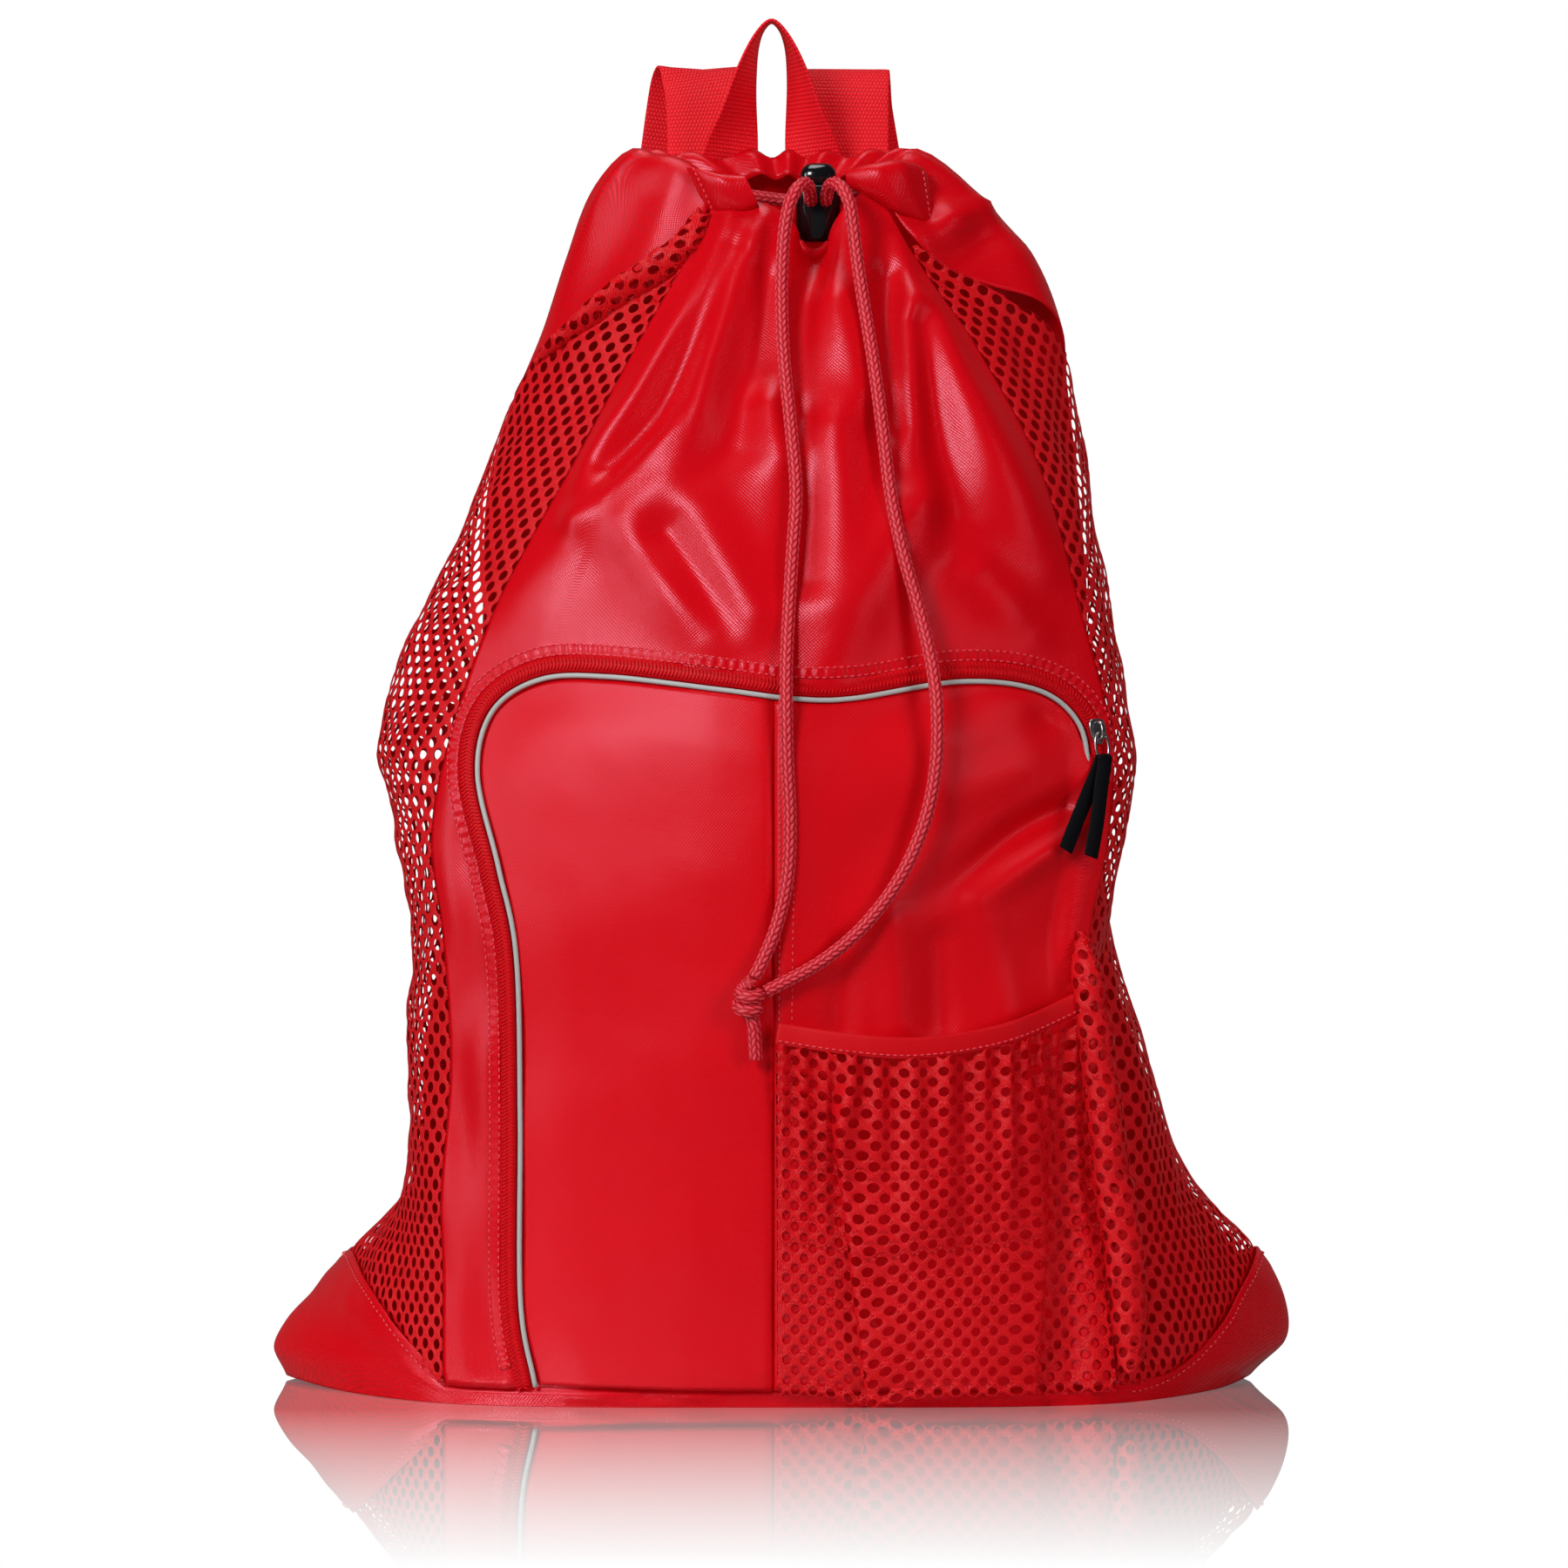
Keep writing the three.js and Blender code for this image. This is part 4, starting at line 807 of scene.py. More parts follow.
columns = np.linspace(-0.998, 0.998, 140)
rows = np.r_[np.linspace(RIM_LOW + RIM_GAP, 285 * MM, 85, endpoint=False), np.linspace(285 * MM, MOUTH, 170)]
front_grid = front_face(*np.meshgrid(columns, rows))
front_panel = cloth("front_cloth", front_grid, nylon_body, "nylon", ["front_panel"])

# %% Facing beside the zip
FACING = np.array([8.2, 13.4]) * MM  # from the piping to the facing's two edges
FACING_LIFT = 0.5 * MM
PUCKER = 4.6 * MM  # from pucker to pucker
PUCKER_HEIGHT = 0.22 * MM
TURNED_IN = 0.8 * MM  # how far the facing's edges are turned in

facing_rows = np.linspace(0.3, 15.3, 720)
offsets = np.linspace(*FACING, 9)
seen = beside_piping(facing_rows[:, None] + 0 * offsets, np.broadcast_to(offsets, (720, 9)))
point, normal = seen_on(front_face, seen[..., 0], seen[..., 1], 0.995, 20)
run = run_along(point[:, 4])[:, None]
middle = np.sin(np.pi * np.clip((offsets - FACING[0]) / np.ptp(FACING), 0, 1))
pucker = np.sin(2 * np.pi * run / PUCKER + 1.5 * np.sin(run * 90)) * middle
edges = np.where((offsets == offsets[0]) | (offsets == offsets[-1]), -TURNED_IN, 0)
facing_grid = point + normal * (FACING_LIFT + PUCKER_HEIGHT * pucker + edges)[..., None]
facing = cloth("zip_facing", facing_grid, nylon_body, "nylon", thickness=0.4 * MM)

# %% [markdown]
# ## The back panel and its shoulders
# The back panel wraps forward as two shoulders above the net sides, and its top is gathered into the collar
# of the mouth. The gathers are ripples across the collar that fade out below it.


# %% Back panel
SHOULDER_FOLDS = [
    [[88, 502, 3, 4], [74, 495, 5, 5], [60, 488, 3, 6]],
    [[64, 509, -2.5, 4], [61, 500, -3, 4], [63, 492, -2, 5]],
    [[84, 487, -3, 6], [74, 479, -3.5, 7], [64, 474, -2, 7]],
    [[98, 478, 3, 8], [112, 440, 3, 9]],
    [[-43, 512, 2, 7], [-54, 486, 1.6, 8], [-72, 455, 1, 10]],
    [[-60, 505, -1.4, 8], [-72, 480, -1, 9], [-92, 445, -1, 10]],
]


def back_face(corner, h):
    """The back panel: the sack's face with gathers at the collar, shoulder folds and soft unevenness."""
    point = body_point(corner, h)
    x, y, z = np.moveaxis(point, -1, 0)
    gathers = np.sin(2 * np.pi * 2.3 * corner + 2 * unevenness(corner * 0.04, z, 60 * MM, 8))
    gathers = 2.0 * MM * gathers * ease(h, 478 * MM, 515 * MM) * (0.25 + 0.75 * ease(y, 0, 25 * MM))
    rim = rim_height(corner)
    behind_ear = 2.5 * MM * ease(rim + 3 * MM - h, 0, TUCK) * ease(rim, RIM_LOW, 2 * RIM_LOW)
    soft = 1.2 * MM * unevenness(x + y, z, 80 * MM, 9) - behind_ear
    forward = ease(-y, -30 * MM, 0)
    lift = gathers + soft + fold_lift(SHOULDER_FOLDS, x, z) * forward
    return point + normal_of(body_point, corner, h) * lift[..., None]


share, rows = np.meshgrid(np.linspace(0, 1, 140), np.linspace(0, MOUTH, 140))
first, last = back_seam(0, rows), 8 - back_seam(1, rows)
corner = first + (last - first) * share
low_edge = np.maximum(rim_height(corner) - TUCK, RIM_LOW + RIM_GAP)
back_grid = back_face(corner, low_edge + (MOUTH - low_edge) * rows / MOUTH)
back_panel = cloth("back_cloth", back_grid, nylon_body, "nylon", ["back_panel"])

# %% [markdown]
# The hem of the mouth is a tunnel for the cord. It ends in front on both sides of the lock: the left end is
# rolled and open, and the right end is a puffed, sewn corner. Each is an oval tube whose ovals stay tilted
# as the hem's own edges are.

# %% Ends of the hem
FORWARD = np.array([0.0, -1.0, 0.12])


def hem_end(name, stations, tilt, is_open):
    """An oval tube through stations of x, y, z, half height and half depth; an open end turns back inside."""
    path, run = even_path(np.array(stations) * MM, 0.8 * MM)
    turn = all_round(48)
    tall, deep = squarish(turn, 0.85)
    round_way, along_way = np.broadcast_arrays(turn[None] * 4 * MM, run[:, None])
    uneven = 1 + 0.05 * unevenness(round_way, along_way, 9 * MM, 51)
    rings = path[:, None, :3] + (path[:, 3:4] * tall * uneven)[..., None] * unit(np.array(tilt))
    rings = rings + (path[:, 4:] * deep * uneven)[..., None] * FORWARD
    if is_open:
        lip = rings[-1].mean(axis=0) + (rings[-1] - rings[-1].mean(axis=0)) * 0.8
        back = path[-8, :3] - path[-1, :3]
        rings = np.concatenate([rings, lip[None], lip[None] + back], axis=0)
        run = np.r_[run, run[-1], run[-1]]
    points, faces = closed_skin(rings)
    flat = np.stack(np.broadcast_arrays(run[:, None], turn[None] * 6 * MM), axis=-1).reshape(-1, 2)
    piece = make_piece(name, points, faces, np.vstack([flat, flat[:1], flat[-1:]]))
    dress(piece, nylon_body, "nylon")
    return rings


hem_left = hem_end("hem_left", [
    [-37, -13.5, 506.5, 10, 0.6], [-35, -15.5, 506.3, 10.2, 2.2], [-31, -18, 505.8, 10, 3.8],
    [-25, -20, 505.2, 9.2, 4.8], [-18, -21, 505.2, 8, 4.8], [-13.5, -21.2, 505.6, 7.2, 4.4],
], (0.42, 0, -0.91), True)
hem_right = hem_end("hem_right", [
    [26, -14, 511, 3, 2.2], [32, -16.5, 510.2, 5.6, 4], [39, -17.5, 509, 8.6, 5.4], [46, -17, 507.6, 11, 6],
    [52, -14.8, 506.4, 12.2, 5.4], [57, -11.5, 505.4, 12.4, 4.2], [60.5, -8.5, 504.8, 11, 2.6],
    [62.4, -6.6, 504.6, 8, 0.8],
], (0.16, 0, -0.99), False)

# %% [markdown]
# ## The bottom
# The bottom is a flat floor with a low edge, raised at both sides into soft corner ears. One grid makes it
# all: its rows run from the middle of the floor out to the outline and then up the edge.


# %% Bottom panel
SEAM_REACH = 3 * MM  # how far the edge runs up behind the panels at the front and back
FLOOR_SHARE = 0.4  # share of the bottom's grid that lies on the floor


def hidden_edge(corner):
    """How far the bottom's edge runs up behind the panels: fully at the front and back, not at the ears."""
    turn = np.mod(corner, 8)
    return SEAM_REACH * ease(np.minimum(np.abs(turn - 2), np.abs(turn - 6)), 0.75, 1.0)


def bottom_face(corner, share):
    """The bottom: the share runs from near the middle out to the outline, and then up the edge."""
    up = np.clip((share - FLOOR_SHARE) / (1 - FLOOR_SHARE), 0, 1)
    h = up * (rim_height(corner) + hidden_edge(corner))
    point = body_point(corner, h)
    outward = np.clip(share / FLOOR_SHARE, 0.02, 1)
    lift = 0.7 * MM * unevenness(point[..., 0], point[..., 2] * 2, 40 * MM, 12)
    lift += 0.3 * MM * unevenness(point[..., 0], point[..., 2], 9 * MM, 13) * ease(up, 0.5, 1)
    lift -= 0.7 * hidden_edge(corner) * ease(up, 0.5, 0.8)
    wall = point + normal_of(body_point, corner, h) * (lift * ease(up, 0.05, 0.4))[..., None]
    floor = wall * np.stack([outward, outward, ease(outward, 0.6, 1)], axis=-1)
    return np.where((share < FLOOR_SHARE)[..., None], floor, wall)


shares = np.r_[np.linspace(0, FLOOR_SHARE, 10, endpoint=False), np.linspace(FLOOR_SHARE, 1, 36)]
bottom_rings = bottom_face(*np.meshgrid(np.arange(208) / 208 * 8, shares))
bottom_rings[..., 2] = np.maximum(bottom_rings[..., 2], 0)
outer, faces = closed_skin(bottom_rings)
keep = ~np.any(faces == len(outer) - 1, axis=1)
flat = np.stack([outer[:, 0] + outer[:, 1] * 0.3, outer[:, 2] + outer[:, 1] * 0.7], axis=-1)
bottom_faces = faced(outer, faces[keep], INSIDE)
bottom_panel = make_piece("bottom_cloth", outer[:-1], bottom_faces, flat[:-1])
dress(bottom_panel, nylon_body, "nylon", ["bottom_panel"], thickness=CLOTH)

# %% [markdown]
# ## The pocket's faces
# The pocket is sewn from two pieces that meet in an upright seam. The left one is smooth, and the right one
# is baggy and folded. Each is filled in between its four edges, seen from the front, and then laid on the
# sack.

# %% Patches of the pocket
POCKET_FOLDS = [
    [[126, 253, -5, 6], [100, 240, -7, 7], [76, 222, -4, 8], [62, 214, -1, 8]],
    [[120, 237, 4, 6], [101, 227, 5, 7], [80, 213, 3, 8]],
    [[108, 285, -2, 8], [96, 265, 2, 9], [70, 255, 2, 10]],
    [[25, 192, -3, 7], [23, 158, -3, 7]],
    [[44, 202, 3, 8], [47, 160, 3, 8]],
    [[64, 194, -3, 7], [65, 160, -3, 7]],
    [[84, 200, 2, 8], [92, 165, 2, 8]],
    [[2, 280, 1.5, 10], [3, 180, 1.5, 10]],
]


def filled(low, high, left, right, u, v):
    """A patch between four edges: both ways of joining opposite edges, less the plain joining of corners."""
    u, v = u[..., None], v[..., None]
    low_corners = low[:, :1] * (1 - u) + low[:, -1:] * u
    high_corners = high[:, :1] * (1 - u) + high[:, -1:] * u
    corners = low_corners * (1 - v) + high_corners * v
    return low * (1 - v) + high * v + left * (1 - u) + right * u - corners


def pocket_patch(rows_low, rows_side, on_left, columns, rows):
    """Places seen from the front over one half of the pocket, from its seam to the piping."""
    u, v = np.meshgrid(np.linspace(0, 1, columns), np.linspace(0, 1, rows))
    side_rows = rows_side[0] + (rows_side[1] - rows_side[0]) * v[:, 0]
    overhang = 0 if on_left else OVERHANG * ease(side_rows, CORNER_RIGHT + 0.4, CORNER_RIGHT + 1.5)
    side = beside_piping(side_rows, overhang - np.full(rows, POCKET_INSET))
    top_rows = np.linspace(rows_low[0], rows_low[1], columns)
    top = beside_piping(top_rows, np.full(columns, -POCKET_INSET))
    seam_top = beside_piping(AT_SEAM, -POCKET_INSET)[1]
    seam_z = RIM_LOW + RIM_GAP + (seam_top - RIM_LOW - RIM_GAP) * v[:, 0]
    seam = np.stack([np.full(rows, POCKET_SEAM_X), seam_z], axis=-1)
    left, right = (side, seam) if on_left else (seam, side)
    top[0], top[-1] = left[-1], right[-1]
    low = left[0] + (right[0] - left[0]) * u[0][:, None]
    return filled(low[None], top[None], left[:, None], right[:, None], u, v)


def seam_groove(x):
    """How far the pocket's faces sink at their seam: a bell across it."""
    return 1.3 * MM * np.exp(-(((x - POCKET_SEAM_X) / (2.2 * MM)) ** 2))


def pocket_points(places, lift):
    """Points of the pocket's face at places seen from the front, lifted off the sack."""
    point, normal = front_at(places[..., 0], places[..., 1])
    return point + normal * lift[..., None]


print("pocket folds:", len(POCKET_FOLDS))

# %% Left pocket face
places = pocket_patch((CORNER_LEFT, AT_SEAM), (0.0, CORNER_LEFT), True, 70, 130)
x, z = places[..., 0], places[..., 1]
inside = inside_pocket(x, z)
left_lift = 0.8 * MM * unevenness(x, z, 80 * MM, 21) + 0.12 * MM * unevenness(x, z, 24 * MM, 22)
left_lift += 1.5 * MM * ease(inside, 0, 25 * MM) - seam_groove(x)
pocket_left_grid = pocket_points(places, left_lift)
pocket_left = cloth("pocket_cloth_left", pocket_left_grid, nylon_pocket, "nylon", ["pocket_face_left"])


# %% Right pocket face
def right_lift(x, z):
    """The baggy right face: folds and hills that fade at its edge, and a rise where it laps the piping."""
    inside = inside_pocket(x, z)
    low = 1 - ease(z, 252 * MM, 280 * MM)
    hills = 1.2 * MM * unevenness(x, z, 50 * MM, 23) * ease(x, 0, 40 * MM)
    hills = hills + 2 * MM * ease(inside, 0, 25 * MM)
    hills = hills + fold_lift(POCKET_FOLDS, x, z) - seam_groove(x)
    over = 4.2 * MM * ease(-inside, -9 * MM, 0) * ease(x, 100 * MM, 116 * MM) * low
    return hills * ease(inside, 0, 8 * MM) + 0.2 * MM + over


def behind_pouch(x, z):
    """How far the right face falls back behind the net pocket's pouch: a soft step from each side."""
    across = ease(x, 22 * MM, 40 * MM) * (1 - ease(x, 104 * MM, 124 * MM))
    return 10 * MM * across * ease(z, 12 * MM, 40 * MM) * (1 - ease(z, 130 * MM, 155 * MM))


places = pocket_patch((AT_SEAM, CORNER_RIGHT), (len(PIPING) - 1.0, CORNER_RIGHT), False, 90, 150)
x, z = places[..., 0], places[..., 1]
pocket_right_grid = pocket_points(places, right_lift(x, z) - behind_pouch(x, z))
pocket_right = cloth("pocket_cloth_right", pocket_right_grid, nylon_pocket, "nylon", ["pocket_face_right"])

# %% [markdown]
# ## Piping and zip
# The piping is a pale reflective cord, and the zip is a red coil between two tapes. The tapes are a thin
# band with a raised middle, and the coil's turns are many small beads made as one mesh.

# %% Piping
PIPING_RADIUS = 1.05 * MM


def trim_line(offset, lift, step):
    """Points and normals on the sack along a line beside the piping, at an even step."""
    rows = np.linspace(0, len(PIPING) - 1, 500)
    seen = beside_piping(rows, np.full(500, offset))
    run = run_along(np.c_[seen, np.zeros(500)])
    rows = np.interp(np.arange(0, run[-1], step), run, rows)
    seen = beside_piping(rows, np.full(len(rows), offset))
    point, normal = front_at(seen[:, 0], seen[:, 1])
    return point + normal * lift, normal


piping_material, tree, shader = new_material("reflective piping")
fill_inputs(tree, shader, {"Base Color": (0.43, 0.44, 0.43, 1.0), "Roughness": 0.45})
path, normal = trim_line(0.0, 0.9 * MM, 2 * MM)
turn = all_round(10)[None]
rings = carry(path, normal, PIPING_RADIUS * np.cos(turn), PIPING_RADIUS * np.sin(turn))
piping = make_piece("piping", *closed_skin(rings))
dress(piping, piping_material, "piping", ["pocket_piping"])


# %% Small lumps
def beads(centres, across, along, out, half):
    """Small rounded lumps: three rings of six points, on the three half sizes of each lump's own axes."""
    turn = all_round(6)
    level, reach = np.array([-0.85, 0.0, 0.85]), np.array([0.55, 1.0, 0.55])
    a = level[:, None] * np.ones(6)
    b = reach[:, None] * np.cos(turn)
    c = reach[:, None] * np.sin(turn)
    local = np.stack([a * half[0], b * half[1], c * half[2]], axis=-1).reshape(-1, 3)
    points = centres[:, None] + local[:, :1] * across[:, None] + local[:, 1:2] * along[:, None]
    points = points + local[:, 2:] * out[:, None]
    quads = np.array([[r * 6 + k, r * 6 + (k + 1) % 6, r * 6 + 6 + (k + 1) % 6, r * 6 + 6 + k]
                      for r in range(2) for k in range(6)])
    triangles = np.vstack([quads[:, [0, 1, 2]], quads[:, [0, 2, 3]]])
    caps = np.array([[0, k + 1, k] for k in range(1, 5)] + [[12, 12 + k, 13 + k] for k in range(1, 5)])
    faces = np.vstack([triangles, caps])
    a, b, c = (points[0][faces[:, k]] - centres[0] for k in range(3))
    faces = faces if np.sum(a * np.cross(b, c)) > 0 else faces[:, ::-1]
    faces = faces[None] + (np.arange(len(centres)) * local.shape[0])[:, None, None]
    return points.reshape(-1, 3), faces.reshape(-1, 3)


print("a lump has 3 rings of 6 points")

# %% Zip
TAPE_OFFSET = 5.2 * MM
TAPE_HALF = 3.6 * MM
TOOTH_PITCH = 1.5 * MM
TOOTH_OUT = 1.55 * MM  # from the zip's middle to a bead's
TOOTH_LEAN = 0.4  # how far a bead's ends are ahead of each other, as a share of its length
TOOTH = np.array([1.8, 0.5, 0.5]) * MM  # half sizes of a coil's bead: across, along and out


def grain(tree, scale):
    """Fine noise over a piece, with the given number of grains to a metre."""
    spot = add_node(tree, "ShaderNodeTexCoord").outputs["Object"]
    return add_node(tree, "ShaderNodeTexNoise", {"Vector": spot, "Scale": scale}).outputs["Fac"]


tape_material, tree, shader = new_material("zip tape")
tape_colour = blend_colour(tree, grain(tree, 900.0), (0.5, 0.0008, 0.004), (0.7, 0.003, 0.01))
fill_inputs(tree, shader, {"Base Color": tape_colour, "Roughness": 0.45, "Specular IOR Level": 0.12})
# painted glow: a faint red emission lifts the tape's shadows
add_painted_glow(shader)

path, normal = trim_line(TAPE_OFFSET, 0.2 * MM, 2 * MM)
across = np.array([-1, -1, -0.45, -0.3, 0.3, 0.45, 1, 1]) * TAPE_HALF
rise = np.array([-0.5, 0.35, 0.45, 0.5, 0.5, 0.45, 0.35, -0.5]) * MM
forward = unit(np.gradient(path, axis=0))
tape = closed_skin(carry(path, np.cross(normal, forward), across[None], rise[None]))
path, normal = trim_line(TAPE_OFFSET, 1.0 * MM, TOOTH_PITCH)
forward = unit(np.gradient(path, axis=0))
beside = np.cross(normal, forward)
left_teeth = beads(path - beside * TOOTH_OUT, unit(beside + TOOTH_LEAN * forward), forward, normal, TOOTH)
right_teeth = beads(path + beside * TOOTH_OUT, unit(beside - TOOTH_LEAN * forward), forward, normal, TOOTH)
zip_band = make_piece("zip_band", *join_parts([tape, left_teeth, right_teeth]))
dress(zip_band, tape_material, "tape", ["zip_tape"])

# %% [markdown]
# ## The zip's slider and pull
# A small silver slider rides at the right end of the zip. A wire loop hangs from its bridge, and a black
# ribbon is folded through the loop. All three lie in the slider's own frame: right, up and out of the bag.

# %% The slider's frame
SLIDER_ROW = 14.42
metal, tree, shader = new_material("slider metal")
fill_inputs(tree, shader, {"Base Color": (0.55, 0.55, 0.56, 1.0), "Metallic": 1.0, "Roughness": 0.28})
black_ribbon, tree, shader = new_material("black ribbon")
fill_inputs(tree, shader, {
    "Base Color": (0.004, 0.004, 0.005, 1.0), "Roughness": 0.6, "Specular IOR Level": 0.1,
    "Normal": bump(tree, grain(tree, 1500.0), 0.2 * MM, 0.4),
})

seen = beside_piping(np.array([SLIDER_ROW]), np.array([TAPE_OFFSET]))
point, normal = front_at(seen[:, 0], seen[:, 1])
slider_out = normal[0]
slider_at = point[0] + slider_out * 0.6 * MM
slider_up = unit(UP - slider_out * slider_out[2])
slider_right = np.cross(slider_up, slider_out)


def in_slider(places):
    """Places given as right, up and out in millimetres, in the slider's own frame."""
    right, up, out = np.moveaxis(np.asarray(places)[..., None] * MM, -2, 0)
    return slider_at + right * slider_right + up * slider_up + out * slider_out


print("slider at", np.round(slider_at, 4).tolist())

# %% Slider
# The plate: rounded outlines at five heights, wide at the top end and narrow below
wide, tall = squarish(all_round(40), 0.5) * np.array([[4.0], [5.3]])
wide = wide * (0.82 + 0.18 * np.tanh(tall / 2.0 + 0.6))
levels = np.array([[0.9, 0.9], [1.0, 1.0], [2.1, 1.0], [2.3, 0.9], [2.35, 0.6]])
heights, sizes = levels[:, :1], levels[:, 1:]
plate = in_slider(np.stack([sizes * wide, sizes * tall, heights * np.ones(40)], axis=-1))
arch = np.linspace(0, np.pi, 24)
bridge_path = in_slider(np.stack([0 * arch, 3.9 * np.cos(arch), 2.2 + 4.2 * np.sin(arch) ** 0.7], axis=-1))
around = all_round(12)[None]
wire = np.stack([np.cos(around), np.sin(around)])
bridge = carry(bridge_path, np.tile(slider_right, (24, 1)), 1.1 * MM * wire[0], 0.55 * MM * wire[1])
slider = make_piece("slider", *join_parts([closed_skin(plate), closed_skin(bridge)]))
dress(slider, metal, "slider_metal", ["zip_slider"])

# %% Wire loop
loop_wide, loop_tall = squarish(all_round(64), 0.8) * np.array([[3.25], [5.4]])
loop_path = in_slider(np.stack([loop_wide, loop_tall - 6.3, np.full(64, 4.1)], axis=-1))
closed_path = np.vstack([loop_path, loop_path[:1]])
ring_rows = carry(closed_path, np.tile(slider_out, (65, 1)), *(0.6 * MM * wire))[:-1]
here = np.arange(64 * 12).reshape(64, 12)
beside_here = np.roll(here, -1, axis=1)
ahead_here, ahead_beside = np.roll(here, -1, axis=0), np.roll(beside_here, -1, axis=0)
loop_faces = np.stack([here, beside_here, ahead_beside, ahead_here], axis=-1).reshape(-1, 4)
loop_points = ring_rows.reshape(-1, 3)
link = make_piece("pull_loop", loop_points, faced(loop_points, loop_faces, loop_path.mean(axis=0)))
dress(link, metal, "slider_metal", ["zip_pull_link"])

# %% Ribbon
RIBBON_LINE = np.array([
    [-14, -53, 8.2], [-9, -39, 7.8], [-4, -23, 6.6], [-0.6, -14, 5.6], [0, -11.4, 5.5], [0, -10.2, 4.2],
    [0, -11.4, 2.9], [-1, -14, 3.0], [-8.5, -25, 3.8], [-17, -38, 4.6], [-24.5, -49.5, 5.6],
])
path, run = even_path(in_slider(RIBBON_LINE), 0.6 * MM)
RIBBON_HALF, RIBBON_THIN = 3.3 * MM, 0.42 * MM  # half the ribbon's width and thickness
edge = np.array([-1, -0.96, 0.96, 1, 1, 0.96, -0.96, -1]) * RIBBON_HALF
face = np.array([0.6, 1, 1, 0.6, -0.6, -1, -1, -0.6]) * RIBBON_THIN
rings = carry(path, np.tile(slider_right, (len(path), 1)), edge[None], face[None])
ribbon = make_piece("pull_ribbon", *closed_skin(rings))
dress(ribbon, black_ribbon, "black_ribbon", ["zip_pull_ribbon"])

# %% [markdown]
# ## Net
# The sides and the low pocket are a knitted net with round holes in staggered columns. Here the net is real
# geometry: a cell round each hole has eighteen points on its outline, which it shares with its neighbours,
# and eighteen on the hole's edge. The outline is the crest of the ribs, above and below, and the hole's
# edge lies between, so the ribs are round. The lattice is laid out flat and then put on the panel's
# surface, which is a table of points with the way covered across and up.

# %% Net material
RIB_RINGS = 16.0  # how far the rings of thread round a hole turn from its edge to the rib's crest
KNIT_RISE = 4600.0  # how far the slanted loops turn in a metre

net_knit, ends_in, ends_out = new_group("knit", [("Place", PLACE), ("Rib", NUMBER)], [("Height", NUMBER)])
apart = add_node(net_knit, "ShaderNodeSeparateXYZ", {0: ends_in.outputs["Place"]})
ringed = maths(net_knit, "COSINE", maths(net_knit, "MULTIPLY", ends_in.outputs["Rib"], RIB_RINGS))
slanted = maths(net_knit, "ADD", apart.outputs["X"], apart.outputs["Y"])
loops = maths(net_knit, "SINE", maths(net_knit, "MULTIPLY", slanted, KNIT_RISE))
both = maths(net_knit, "ADD", ringed, loops)
net_knit.links.new(maths(net_knit, "MULTIPLY_ADD", both, 0.25, 0.5), ends_out.inputs["Height"])

net_material, tree, shader = new_material("knitted net")
flat = add_node(tree, "ShaderNodeUVMap", uv_map="flat").outputs["UV"]
rib = add_node(tree, "ShaderNodeAttribute", attribute_name="rib").outputs["Fac"]
knit = add_node(tree, "ShaderNodeGroup", {"Place": flat, "Rib": rib}, node_tree=net_knit).outputs["Height"]
fill_inputs(tree, shader, {
    "Base Color": blend_colour(tree, knit, (0.48, 0.0006, 0.003), (0.78, 0.008, 0.015)),
    "Normal": bump(tree, knit, 0.3 * MM, 0.6),
    "Roughness": 0.36,
    "Specular IOR Level": 0.22,
})
# painted glow: a faint red emission lifts the net's shadows
add_painted_glow(shader)
print("material:", net_material.name)


# %% A cell of net
NET_ACROSS = 8.6 * MM  # from hole to hole in a row
NET_UP = 10.0 * MM  # from hole to hole in a column
NET_HOLE = np.array([2.1, 2.35]) * MM  # half a hole's width and height
NET_THICK = 0.7 * MM


def cell_outline():
    """Eighteen points round a six-sided cell, with long sides in four parts, and the hole's points in it."""
    half, up = NET_ACROSS / 2, NET_UP / 2
    reach = (half**2 + up**2) / 2
    low, top = (reach - half**2) / up, reach / up
    share = np.linspace(0, 1, 4, endpoint=False)[:, None]
    corners = np.array([[half, low], [0, top], [-half, low], [-half, -low], [0, -top], [half, -low]])
    long_sides = [corners[k] + (corners[k + 1] - corners[k]) * share for k in (0, 1, 3, 4)]
    outline = np.vstack([*long_sides[:2], corners[2:3], *long_sides[2:], corners[5:6]])
    return outline, unit(outline) * NET_HOLE


print("points round a cell:", len(cell_outline()[0]))


# %% Places on a surface
def read_table(surface, u, v, keys):
    """What a surface's tables say at flat places, read between the nearest rows and columns."""
    count = len(surface["up"])
    row = np.interp(v, surface["up"], np.arange(count))
    low = np.minimum(row.astype(int), count - 2)
    across = surface["across"]
    shelf = 10.0 * np.arange(count)  # sets the rows apart on one long number line
    line = (across - across[:, :1] + shelf[:, None]).ravel()
    index = np.tile(np.arange(across.shape[1], dtype=float), count)
    both = []
    for k in (low, low + 1):
        width = across[k, -1] - across[k, 0]
        column = np.interp(np.clip(u - across[k, 0], 0, width) + shelf[k], line, index)
        i = np.minimum(column.astype(int), across.shape[1] - 2)
        f = (column - i)[..., None]
        both.append([surface[key][k, i] * (1 - f) + surface[key][k, i + 1] * f for key in keys])
    f = (row - low)[..., None]
    return [below * (1 - f) + above * f for below, above in zip(*both)]


print("a surface is a set of tables: points, normals, and the way covered across and up")


